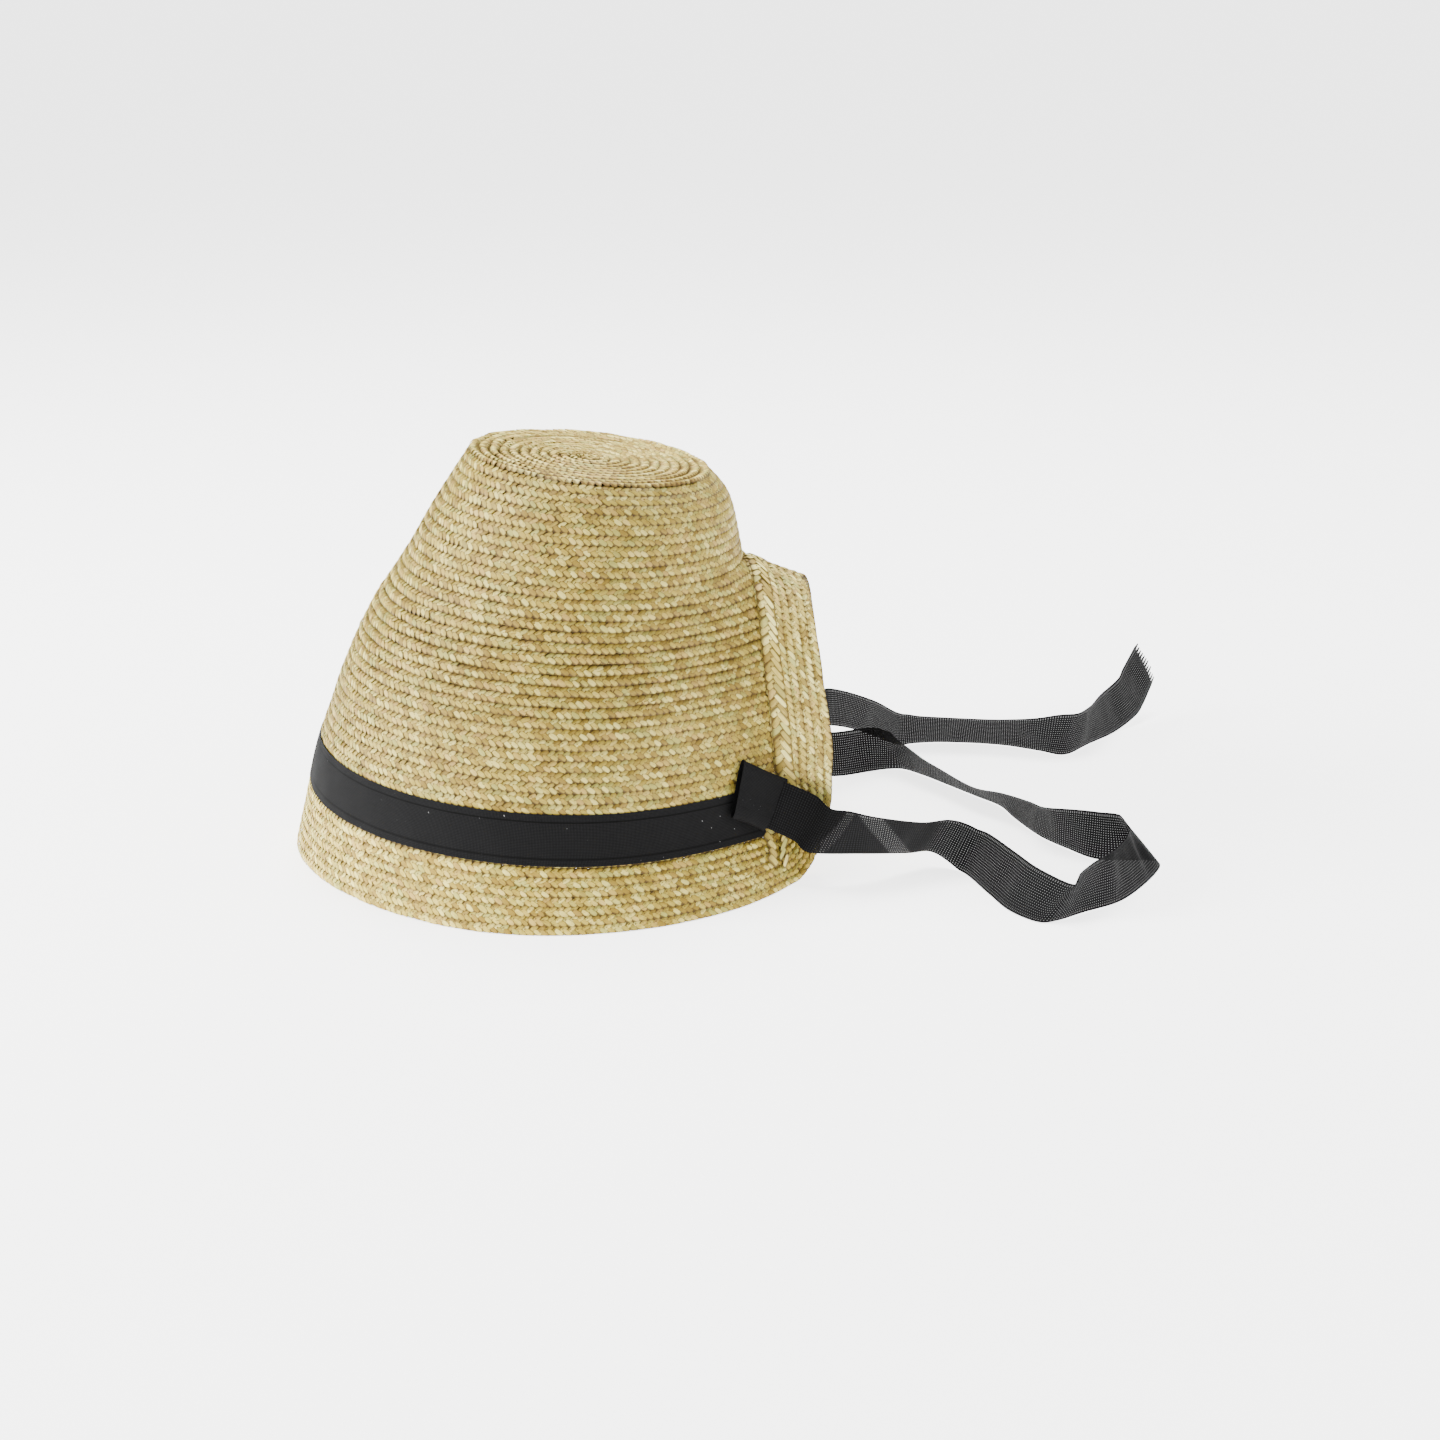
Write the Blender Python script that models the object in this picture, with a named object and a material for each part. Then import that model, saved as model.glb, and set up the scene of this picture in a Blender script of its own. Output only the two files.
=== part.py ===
"""Poke bonnet of sewn straw braid with a ribbon band, two ribbon knots and two ribbon ties.

It stands on the rim of its brim. The origin is on the table, under the middle of the rim. +X points
to the nape, -Y to the wearer's left and +Z to the tip of the crown. Lengths are in metres.
"""

import math
from collections import namedtuple

import bmesh
import bpy
from mathutils import Vector

# Straw form, from the flat tip down to the rim that rests on the table
RIM_RADIUS = 0.140
RIM_PULL = 0.005
TIP_RADIUS = 0.060
HAT_HEIGHT = 0.200
TIP_SHIFT = 0.0165
NAPE_DROP = 0.0068
BRIM_HEIGHT = 0.029
STRAW_WALL = 0.0020

# Sewn braid: what each row shows, and how far its lower edge stands proud of the next row
BRAID_PITCH = 0.0052
BRAID_RELIEF = 0.0008
TIP_RINGS = 3

# Neck opening, an arch cut into the nape
NECK_WIDTH = 0.106
NECK_RISE = 0.131
NECK_FLARE = 0.0155
FLARE_START = math.radians(62)

# Neck curtain, which continues the brim round the neck opening
CURTAIN_TOP_DEPTH = 0.0320
CURTAIN_SIDE_DEPTH = 0.0305
CURTAIN_CORNER_DEPTH = 0.0270
CURTAIN_DROOP = math.radians(21)
CURTAIN_SPREAD = math.radians(10)
CURTAIN_START = math.radians(8)
CURTAIN_FULL = math.radians(20)
RIM_CORNER = math.radians(33)
CORNER_FULLNESS = 0.72
FLANGE_ROWS = 7
BINDING_ROWS = 3

# Binding, one wide braid over the ends of the crown's rows
BINDING_WIDTH = 0.0095
BINDING_THICKNESS = 0.0012
BINDING_INSET = 0.0011

# Ribbon
RIBBON_WIDTH = 0.025
RIBBON_THICKNESS = 0.0010
KNOT_HEIGHT = 0.029
KNOT_THICKNESS = 0.0042
KNOT_TILT = math.radians(27)
KNOT_CLEARANCE = 0.0009
KNOT_BEVEL = 0.0012
KNOT_PLACE = 0.41
KNOT_LIFT = 0.010
BAND_END = math.radians(38)
KNOT_FOOT = math.radians(42)
LEFT_TIE_REACH = 0.200
RIGHT_TIE_REACH = 0.240

SEAM_GAP = 0.0003
NECK_GAP = 0.0005

# How finely the round forms are divided
CROWN_COLUMNS = 40
ARCH_COLUMNS = 18
FRONT_COLUMNS = CROWN_COLUMNS // 2
TIE_STEPS = 3
INNER_ROW_STEP = 4
NECK_TOP_SHARES = (0.08, 0.32)

# Sections of the straw form. height is a share of HAT_HEIGHT; front, nape and side are shares of the
# growth from the tip to the rim; drop is a share of NAPE_DROP.
Section = namedtuple("Section", "height front nape side drop")
SECTIONS = (
    Section(1.000, 0.000, 0.000, 0.000, 1.00),
    Section(0.938, 0.095, 0.150, 0.125, 0.85),
    Section(0.853, 0.212, 0.220, 0.231, 0.82),
    Section(0.743, 0.347, 0.276, 0.338, 0.85),
    Section(0.595, 0.544, 0.339, 0.475, 0.90),
    Section(0.435, 0.706, 0.417, 0.612, 1.00),
    Section(0.337, 0.780, 0.449, 0.675, 1.08),
    Section(0.282, 0.824, 0.472, 0.712, 1.10),
    Section(0.138, 0.907, 0.575, 0.812, 1.20),
    Section(0.000, 1.000, 1.000, 1.000, 0.00),
)
RIM_LEVEL = len(SECTIONS) - 1

# Stations of a tie. ahead and across place its lower edge past the knot as shares of the tie's reach;
# lift is a share of the knot's height over the table; lean_x and lean_y place its upper edge beside
# its lower edge as shares of the ribbon's width.
Station = namedtuple("Station", "ahead across lift lean_x lean_y")
LEFT_TIE = (
    Station(0.06, -0.01, 0.81, 0.44, 0.28),
    Station(0.10, -0.03, 0.63, 0.48, 0.12),
    Station(0.23, 0.00, 0.52, 0.08, -0.32),
    Station(0.35, 0.07, 0.33, 0.20, -0.48),
    Station(0.42, 0.10, 0.26, 0.32, -0.40),
    Station(0.49, 0.05, 0.00, 0.36, -0.08),
    Station(0.54, -0.09, 0.00, 0.48, 0.08),
    Station(0.58, -0.20, 0.00, 0.56, 0.20),
    Station(0.64, -0.27, 0.00, 0.68, 0.16),
    Station(0.69, -0.26, 0.00, 0.40, 0.16),
    Station(0.76, -0.21, 0.00, 0.16, 0.16),
    Station(0.86, -0.14, 0.00, -0.12, 0.32),
    Station(0.95, -0.01, 0.00, -0.36, 0.44),
    Station(1.00, 0.10, 0.00, -0.60, 0.48),
    Station(0.97, 0.13, 0.00, -0.48, 0.32),
    Station(0.92, 0.13, 0.00, -0.24, 0.16),
    Station(0.84, 0.14, 0.00, 0.04, 0.08),
    Station(0.78, 0.21, 0.00, -0.04, -0.24),
    Station(0.72, 0.30, 0.00, -0.04, -0.52),
    Station(0.67, 0.43, 0.00, 0.16, -0.72),
    Station(0.64, 0.53, 0.00, -0.08, -0.80),
    Station(0.58, 0.61, 0.00, -0.16, -0.84),
    Station(0.49, 0.73, 0.00, -0.08, -0.80),
    Station(0.45, 0.78, 0.00, -0.12, -0.72),
    Station(0.40, 0.83, 0.00, -0.20, -0.44),
    Station(0.35, 0.83, 0.00, 0.00, -0.20),
    Station(0.30, 0.81, 0.00, -0.12, 0.24),
    Station(0.20, 0.77, 0.00, -0.08, 0.28),
    Station(0.10, 0.81, 0.00, -0.08, 0.20),
)
RIGHT_TIE = (
    Station(0.09, 0.03, 1.11, 0.28, -0.24),
    Station(0.16, 0.07, 1.07, 0.00, -0.28),
    Station(0.24, 0.16, 0.67, 0.16, -0.40),
    Station(0.33, 0.27, 0.07, -0.04, -0.40),
    Station(0.40, 0.30, 0.00, -0.12, -0.54),
    Station(0.49, 0.30, 0.00, 0.00, -0.60),
    Station(0.59, 0.28, 0.00, -0.08, -0.56),
    Station(0.67, 0.24, 0.00, 0.00, -0.36),
    Station(0.73, 0.21, 0.00, 0.24, 0.12),
    Station(0.80, 0.29, 0.00, -0.04, -0.16),
    Station(0.88, 0.38, 0.04, -0.32, 0.16),
    Station(0.94, 0.45, 0.19, -0.44, 0.20),
    Station(0.965, 0.49, 0.34, -0.50, 0.24),
    Station(0.995, 0.545, 0.66, -0.44, 0.24),
)

# Material colour, roughness
STRAW = ("straw_braid", (0.66, 0.50, 0.25), 0.62)
STRAW_PALE = ("straw_binding", (0.70, 0.58, 0.34), 0.60)
RIBBON = ("black_ribbon", (0.012, 0.012, 0.014), 0.80)


def clear_scene():
    """Remove what the scene holds."""
    for item in list(bpy.data.objects):
        bpy.data.objects.remove(item, do_unlink=True)


def blend(low, high, share):
    """Value at a share of the way from low to high."""
    return low + (high - low) * share


def smooth_between(before, low, high, after, share):
    """Catmull-Rom value between low and high."""
    slope_low = (high - before) / 2
    slope_high = (after - low) / 2
    s2 = share * share
    s3 = s2 * share
    return (
        (2 * s3 - 3 * s2 + 1) * low
        + (s3 - 2 * s2 + share) * slope_low
        + (3 * s2 - 2 * s3) * high
        + (s3 - s2) * slope_high
    )


def table_value(table, column, place):
    """Smooth value of a table's column at a place counted in rows."""
    last = len(table) - 1
    index = min(max(int(math.floor(place)), 0), last - 1)
    rows = [table[min(max(index + step, 0), last)] for step in (-1, 0, 1, 2)]
    values = [getattr(row, column) for row in rows]
    return smooth_between(*values, place - index)


def section_lengths(level):
    """Height, front, nape and side lengths and nape drop of the straw form at a level."""
    height = HAT_HEIGHT * table_value(SECTIONS, "height", level)
    front = blend(TIP_RADIUS - TIP_SHIFT, RIM_RADIUS, table_value(SECTIONS, "front", level))
    nape = blend(TIP_RADIUS + TIP_SHIFT, RIM_RADIUS, table_value(SECTIONS, "nape", level))
    side = blend(TIP_RADIUS, RIM_RADIUS, table_value(SECTIONS, "side", level))
    drop = NAPE_DROP * table_value(SECTIONS, "drop", level)
    return height, front, nape, side, drop


def level_at(wanted, measure, low=0.0, high=float(RIM_LEVEL)):
    """Level at which a falling measure of the straw form reaches the wanted value."""
    for _ in range(50):
        middle = (low + high) / 2
        if measure(middle) > wanted:
            low = middle
        else:
            high = middle
    return (low + high) / 2


def middle_height(level):
    """Height of a section's middle over the table."""
    return section_lengths(level)[0]


def nape_height(level):
    """Height of a section's nape point over the table."""
    lengths = section_lengths(level)
    return lengths[0] - lengths[4]


def side_steps(start, end, count=240):
    """Levels from start to end with the length run down the side to each."""
    steps = []
    run = 0.0
    before = None
    for index in range(count + 1):
        level = blend(start, end, index / count)
        height, _, _, side, _ = section_lengths(level)
        if before is not None:
            run += math.hypot(height - before[0], side - before[1])
        before = (height, side)
        steps.append((level, run))
    return steps


def level_after(start, end, run):
    """Level reached after a run down the side from start."""
    steps = side_steps(start, end)
    for (level_low, run_low), (level_high, run_high) in zip(steps, steps[1:]):
        if run_high >= run:
            return blend(level_low, level_high, (run - run_low) / (run_high - run_low))
    return end


CROWN_END = level_at(BRIM_HEIGHT, middle_height)
BAND_START = level_after(CROWN_END, 0.0, RIBBON_WIDTH)


def row_edges():
    """Levels of the crown's row edges from the tip down to the band."""
    run = side_steps(0.0, BAND_START)[-1][1]
    rows = max(4, round(run / BRAID_PITCH))
    return [level_after(0.0, BAND_START, run * row / rows) for row in range(rows)] + [BAND_START]


ROW_EDGES = row_edges()
NECK_BASE = nape_height(CROWN_END)
NECK_TOP_LEVEL = min(ROW_EDGES[1:], key=lambda level: abs(nape_height(level) - NECK_BASE - NECK_RISE))
NECK_TOP = nape_height(NECK_TOP_LEVEL)


def neck_share(level):
    """Half width of the neck opening at a level, as a share of its half width at the bottom."""
    rise = (nape_height(level) - NECK_BASE) / (NECK_TOP - NECK_BASE)
    return math.sqrt(max(0.0, 1.0 - max(0.0, rise) ** 2)) if level > NECK_TOP_LEVEL else 0.0


def neck_angle(level):
    """Angle from the nape at which the straw ends at a level."""
    side = section_lengths(max(level, 0.0))[3]
    return math.asin(min(0.9, neck_share(level) * NECK_WIDTH / 2 / side))


def straw_point(level, angle):
    """Point of the straw form. The angle runs from the nape over the wearer's left to the front.

    Levels under zero lie on the flat tip, down to -1 at its middle.
    """
    height, front, nape, side, drop = section_lengths(max(level, 0.0))
    reach = 1.0 + min(level, 0.0)
    middle = (nape - front) / 2
    half = (nape + front) / 2
    point = Vector((middle + reach * half * math.cos(angle), -reach * side * math.sin(angle), height))
    point.z -= reach * drop * math.cos(angle)
    off_nape = min(angle, 2 * math.pi - angle)
    opening = neck_angle(level)
    if off_nape < FLARE_START:
        share = (FLARE_START - off_nape) / (FLARE_START - opening)
        point.x += NECK_FLARE * neck_share(level) * share * share
    return point


def straw_normal(level, angle):
    """Outward normal of the straw form."""
    step = 0.01
    across = straw_point(level + step, angle) - straw_point(level - step, angle)
    along = straw_point(level, angle + step) - straw_point(level, angle - step)
    return along.cross(across).normalized()


def straw_line(level, offset, columns=CROWN_COLUMNS):
    """Points round the straw form at a level, from one side of the neck opening to the other."""
    opening = neck_angle(level)
    points = []
    for column in range(columns + 1):
        angle = blend(opening, 2 * math.pi - opening, column / columns)
        points.append(straw_point(level, angle) + straw_normal(level, angle) * offset)
    return points


def make_material(name, colour, roughness):
    """Principled material with a colour and a roughness."""
    material = bpy.data.materials.get(name)
    if material is None:
        material = bpy.data.materials.new(name)
        material.use_nodes = True
        shader = material.node_tree.nodes["Principled BSDF"]
        shader.inputs["Base Color"].default_value = (*colour, 1.0)
        shader.inputs["Roughness"].default_value = roughness
        shader.inputs["Metallic"].default_value = 0.0
    return material


def add_lines(bm, lines):
    """Add vertices for each line of points."""
    return [[bm.verts.new(point) for point in line] for line in lines]


def join_lines(bm, lines):
    """Fill between neighbouring lines that have as many points."""
    for upper, lower in zip(lines, lines[1:]):
        for index in range(len(upper) - 1):
            bm.faces.new((upper[index], upper[index + 1], lower[index + 1], lower[index]))


def split_lines(bm, low_line, high_line, outward):
    """Fill between a low and a high line with triangles whose diagonals all rise the same way."""
    for index in range(len(low_line) - 1):
        low, low_next = low_line[index], low_line[index + 1]
        high, high_next = high_line[index], high_line[index + 1]
        for corners in ((low, low_next, high_next), (low, high_next, high)):
            bm.faces.new(corners if outward else corners[::-1])


def zip_edges(bm, first, second):
    """Fill between two edges that start together and have different numbers of points."""
    i, j = 0, 0
    while i < len(first) - 1 or j < len(second) - 1:
        first_share = (i + 1) / (len(first) - 1) if i < len(first) - 1 else 2.0
        second_share = (j + 1) / (len(second) - 1) if j < len(second) - 1 else 2.0
        if first_share <= second_share:
            bm.faces.new((first[i], first[i + 1], second[j]))
            i += 1
        else:
            bm.faces.new((first[i], second[j + 1], second[j]))
            j += 1


def finish_object(name, bm, look):
    """Close the mesh's seams, face it outwards and link it as a smooth-shaded object."""
    bmesh.ops.remove_doubles(bm, verts=bm.verts, dist=0.000002)
    bm.normal_update()
    bmesh.ops.recalc_face_normals(bm, faces=bm.faces)
    mesh = bpy.data.meshes.new(name)
    bm.to_mesh(mesh)
    bm.free()
    mesh.shade_smooth()
    mesh.set_sharp_from_angle(angle=math.radians(35))
    mesh.materials.append(make_material(*look))
    made = bpy.data.objects.new(name, mesh)
    bpy.context.scene.collection.objects.link(made)
    return made


def make_crown():
    """Crown: flat tip and tapering side in overlapping rows, open at the bottom and at the neck."""
    ring = BRAID_PITCH / TIP_RADIUS
    rows = [(-ring * (step + 1), -ring * step) for step in reversed(range(TIP_RINGS))]
    rows += list(zip(ROW_EDGES, ROW_EDGES[1:]))
    outer = []
    for start, end in rows:
        outer.append((start, 0.0))
        if start == NECK_TOP_LEVEL:
            outer += [(blend(start, end, share), BRAID_RELIEF * share) for share in NECK_TOP_SHARES]
        outer.append((end, BRAID_RELIEF))
    under_band = [blend(BAND_START, CROWN_END, share) for share in (0.0, 0.5, 1.0)]
    outer += [(level, 0.0) for level in under_band]

    neck_row = ROW_EDGES.index(NECK_TOP_LEVEL)
    inner_levels = [-ring, ROW_EDGES[1]] + under_band
    for row, level in enumerate(ROW_EDGES):
        below_neck = row - neck_row
        if row > 1 and (below_neck % INNER_ROW_STEP == 0 or below_neck in (1, 2)):
            inner_levels.append(level)
        if below_neck == 1:
            inner_levels += [blend(NECK_TOP_LEVEL, level, share) for share in NECK_TOP_SHARES]
    inner_levels = sorted(set(inner_levels))

    bm = bmesh.new()
    outside = add_lines(bm, [straw_line(level, offset) for level, offset in outer])
    inside = add_lines(bm, [straw_line(level, -STRAW_WALL) for level in inner_levels])
    join_lines(bm, outside)
    join_lines(bm, inside)
    join_lines(bm, [outside[-1], inside[-1]])
    bm.faces.new(outside[0][:-1])
    bm.faces.new(inside[0][:-1])
    first = outer.index((NECK_TOP_LEVEL, 0.0))
    below_outside = outside[first:]
    below_inside = inside[inner_levels.index(NECK_TOP_LEVEL):]
    for column in (0, -1):
        zip_edges(bm, [line[column] for line in below_outside], [line[column] for line in below_inside])
    bmesh.ops.triangulate(bm, faces=[face for face in bm.faces if len(face.verts) > 4])
    return finish_object("crown", bm, STRAW)


def neck_edge(rise_angle):
    """Point of the neck opening's left edge, from 0 at its foot to 90 degrees at its top."""
    height = blend(NECK_BASE, NECK_TOP, math.sin(rise_angle))
    level = level_at(height, nape_height, NECK_TOP_LEVEL, CROWN_END)
    return straw_point(level, neck_angle(level))


def curtain_reach(rise_angle):
    """Vector from the neck edge to the curtain's outer edge, on the wearer's left."""
    rise = math.sin(rise_angle)
    depth = blend(CURTAIN_SIDE_DEPTH, CURTAIN_TOP_DEPTH, rise)
    corner = max(0.0, 1.0 - max(0.0, rise_angle - CURTAIN_START) / (CURTAIN_FULL - CURTAIN_START))
    depth = blend(depth, CURTAIN_CORNER_DEPTH, corner)
    down = math.sin(CURTAIN_DROOP) * rise
    sideways = math.sin(CURTAIN_SPREAD) * math.cos(rise_angle)
    return Vector((math.sqrt(1 - down * down - sideways * sideways), -sideways, -down)) * depth


def rim_point(angle):
    """Point of the brim's rim, which draws in a little between the side and the front."""
    radius = RIM_RADIUS
    if angle > math.pi / 2:
        radius -= RIM_PULL * math.sin(2 * angle) ** 2
    return Vector((radius * math.cos(angle), -radius * math.sin(angle), 0.0))


def corner_curve(start, control, end, share):
    """Point of a quadratic curve round the corner of the flange."""
    return start * (1 - share) ** 2 + control * 2 * share * (1 - share) + end * share * share


def flange_pair(share):
    """Inner and outer point of the flange on the wearer's left.

    The share runs from 0 at the front to 1 where the corner starts, to 2 where the curtain's leg
    starts, and to 3 at the top of the neck opening.
    """
    foot = straw_point(CROWN_END, neck_angle(CROWN_END))
    gap_level = CROWN_END + SEAM_GAP / (side_steps(CROWN_END, RIM_LEVEL)[-1][1]) * (RIM_LEVEL - CROWN_END)
    rim_end = rim_point(RIM_CORNER)
    leg = neck_edge(CURTAIN_START)
    leg_reach = curtain_reach(CURTAIN_START)
    if share <= 1.0:
        inner = straw_point(gap_level, blend(math.pi, neck_angle(CROWN_END), share))
        angle = blend(math.pi, RIM_CORNER, share)
        return inner, rim_point(angle)
    if share < 2.0:
        turn = share - 1.0
        below = straw_point(gap_level, neck_angle(CROWN_END))
        beside = leg + leg_reach.normalized() * NECK_GAP
        outward = foot + (leg_reach.normalized() + Vector((0.0, 0.0, -0.4))) * NECK_GAP
        inner = corner_curve(below, outward, beside, turn)
        end = leg + leg_reach
        control = Vector((blend(rim_end.x, end.x, CORNER_FULLNESS), end.y, 0.0))
        return inner, corner_curve(rim_end, control, end, turn)
    rise_angle = blend(CURTAIN_START, math.pi / 2, min(share - 2.0, 1.0))
    reach = curtain_reach(rise_angle)
    edge = neck_edge(rise_angle)
    return edge + reach.normalized() * NECK_GAP, edge + reach


def mirrored(pair):
    """The pair of points on the wearer's right."""
    return tuple(Vector((point.x, -point.y, point.z)) for point in pair)


def flange_path(shares):
    """Pairs along one side and back along the other, with the shares given for the wearer's left."""
    left = [flange_pair(share) for share in shares]
    right = [mirrored(pair) for pair in reversed(left[:-1])]
    return left + right


def shift_ends(path, gap):
    """Move the pairs at a path's seams inwards by a gap. Past each seam the path has one more pair."""
    for end, neighbour in ((1, 2), (-2, -3)):
        move = (path[neighbour][1] - path[end][1]).normalized() * gap
        path[end] = tuple(point + move for point in path[end])


def flange_grid(path, facing, places):
    """Points and normals of a flange for each place across it, without the path's two end pairs.

    A pair has one normal, taken halfway across, so that the flange's ends are flat.
    """
    halfway = [inner.lerp(outer, 0.5) for inner, outer in path]
    normals = []
    for behind, ahead, (inner, outer) in zip(halfway, halfway[2:], path[1:]):
        normals.append(((ahead - behind).cross(outer - inner) * facing).normalized())
    return [([inner.lerp(outer, place) for inner, outer in path[1:-1]], normals) for place in places]


def offset_line(line, normals, offset, on_table):
    """A line moved along its normals; points that rest on the table stay on it."""
    moved = []
    for point, normal in zip(line, normals):
        place = point + normal * offset
        if on_table and point.z < SEAM_GAP:
            place = point + Vector((normal.x, normal.y, 0.0)).normalized() * offset
            place.z = 0.0
        moved.append(place)
    return moved


def make_flange(name, path, facing, flat_rows):
    """Flange in rows: each row's outer edge stands proud, apart from the flat rows."""
    places = []
    offsets = []
    for row in range(FLANGE_ROWS):
        proud = 0.0 if row < flat_rows else BRAID_RELIEF
        if row >= flat_rows or row == 0:
            places.append(row / FLANGE_ROWS)
            offsets.append(0.0)
        if row >= flat_rows - 1:
            places.append((row + 1) / FLANGE_ROWS)
            offsets.append(proud)
    bm = bmesh.new()
    lines = []
    for (line, normals), offset, place in zip(flange_grid(path, facing, places), offsets, places):
        lines.append(offset_line(line, normals, offset, place == 1.0))
    inner_lines = []
    for (line, normals), place in zip(flange_grid(path, facing, (1.0, 0.5, 0.0)), (1.0, 0.5, 0.0)):
        inner_lines.append(offset_line(line, normals, -STRAW_WALL, place == 1.0))
    loop = add_lines(bm, lines + inner_lines)
    join_lines(bm, loop)
    join_lines(bm, [loop[-1], loop[0]])
    split = len(lines)
    for column in (0, -1):
        outside = [line[column] for line in loop[:split]]
        inside = [line[column] for line in reversed(loop[split:])]
        zip_edges(bm, outside, inside)
    return finish_object(name, bm, STRAW)


def make_brim():
    """Brim: the flange in front, from the seam in one corner round to the other."""
    shares = [1.75, 1.5, 1.25, 1.0]
    shares += [1.0 - step / FRONT_COLUMNS for step in range(1, FRONT_COLUMNS + 1)]
    path = flange_path(shares)
    shift_ends(path, SEAM_GAP / 2)
    return make_flange("brim", path, 1.0, 0)


def curtain_shares():
    """Shares along the curtain, from just before the seam to the top of the neck opening."""
    shares = [1.25, 1.5, 1.75]
    shares += [2.0 + step / ARCH_COLUMNS for step in range(ARCH_COLUMNS + 1)]
    return shares


def make_neck_curtain():
    """Neck curtain: the flange that flares out round the neck opening."""
    path = flange_path(curtain_shares())
    shift_ends(path, SEAM_GAP / 2)
    return make_flange("neck_curtain", path, -1.0, BINDING_ROWS)


def make_neck_binding():
    """Neck binding: one wide flat braid laid on the curtain along the neck opening."""
    path = flange_path(curtain_shares()[2:])
    _, normals = flange_grid(path, -1.0, (0.0,))[0]
    lines = []
    for place, offset in ((0.0, SEAM_GAP), (1.0, SEAM_GAP), (1.0, SEAM_GAP + BINDING_THICKNESS),
                          (0.0, SEAM_GAP + BINDING_THICKNESS)):
        across = BINDING_INSET + BINDING_WIDTH * place
        line = [inner + (outer - inner).normalized() * across for inner, outer in path[1:-1]]
        lines.append(offset_line(line, normals, offset, False))
    bm = bmesh.new()
    loop = add_lines(bm, lines)
    join_lines(bm, loop + [loop[0]])
    for column in (0, -1):
        bm.faces.new([line[column] for line in loop])
    return finish_object("neck_binding", bm, STRAW_PALE)


def make_hat_band():
    """Hat band: ribbon laid flat round the foot of the crown, from knot to knot."""
    columns = CROWN_COLUMNS
    top = BAND_START + (CROWN_END - BAND_START) * 0.01
    bottom = CROWN_END - (CROWN_END - BAND_START) * 0.01
    lines = []
    for level, offset in ((top, SEAM_GAP), (top, SEAM_GAP + RIBBON_THICKNESS),
                          (bottom, SEAM_GAP + RIBBON_THICKNESS), (bottom, SEAM_GAP)):
        line = []
        for column in range(columns + 1):
            angle = blend(BAND_END, 2 * math.pi - BAND_END, column / columns)
            line.append(straw_point(level, angle) + straw_normal(level, angle) * offset)
        lines.append(line)
    bm = bmesh.new()
    loop = add_lines(bm, lines)
    join_lines(bm, loop + [loop[0]])
    for column in (0, -1):
        bm.faces.new([line[column] for line in loop])
    return finish_object("hat_band", bm, RIBBON)


def knot_frame():
    """Middle, rightward, upward and outward direction of the knot on the wearer's left.

    It bridges from the band to the binding, over the hollow where the curtain turns outwards.
    """
    level = blend(BAND_START, CROWN_END, 0.5)
    on_band = straw_point(level, KNOT_FOOT) + straw_normal(level, KNOT_FOOT) * RIBBON_THICKNESS
    reach = curtain_reach(CURTAIN_FULL)
    neck = straw_point(level, neck_angle(level))
    on_binding = neck + reach.normalized() * BINDING_WIDTH
    along = (on_binding - on_band).normalized()
    slope = straw_point(blend(BAND_START, CROWN_END, 0.1), BAND_END)
    slope -= straw_point(blend(BAND_START, CROWN_END, 0.9), BAND_END)
    outward = along.cross(slope).normalized()
    upward = outward.cross(along)
    right = along * math.cos(KNOT_TILT) - upward * math.sin(KNOT_TILT)
    up = along * math.sin(KNOT_TILT) + upward * math.cos(KNOT_TILT)
    middle = on_band.lerp(on_binding, KNOT_PLACE) + upward * KNOT_LIFT
    middle += outward * (KNOT_CLEARANCE + KNOT_THICKNESS / 2)
    return middle, right, up, outward


def make_knot(name, mirror):
    """Knot: a short stretch of ribbon wrapped flat over the end of the band."""
    middle, right, up, outward = knot_frame()
    bm = bmesh.new()
    bmesh.ops.create_cube(bm, size=1.0)
    for vertex in bm.verts:
        place = middle + right * (vertex.co.x * RIBBON_WIDTH)
        place += up * (vertex.co.y * KNOT_HEIGHT) + outward * (vertex.co.z * KNOT_THICKNESS)
        vertex.co = Vector((place.x, place.y * mirror, place.z))
    bm.normal_update()
    bmesh.ops.bevel(bm, geom=bm.edges, offset=KNOT_BEVEL, segments=2, affect="EDGES", profile=0.5)
    return finish_object(name, bm, RIBBON)


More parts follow.
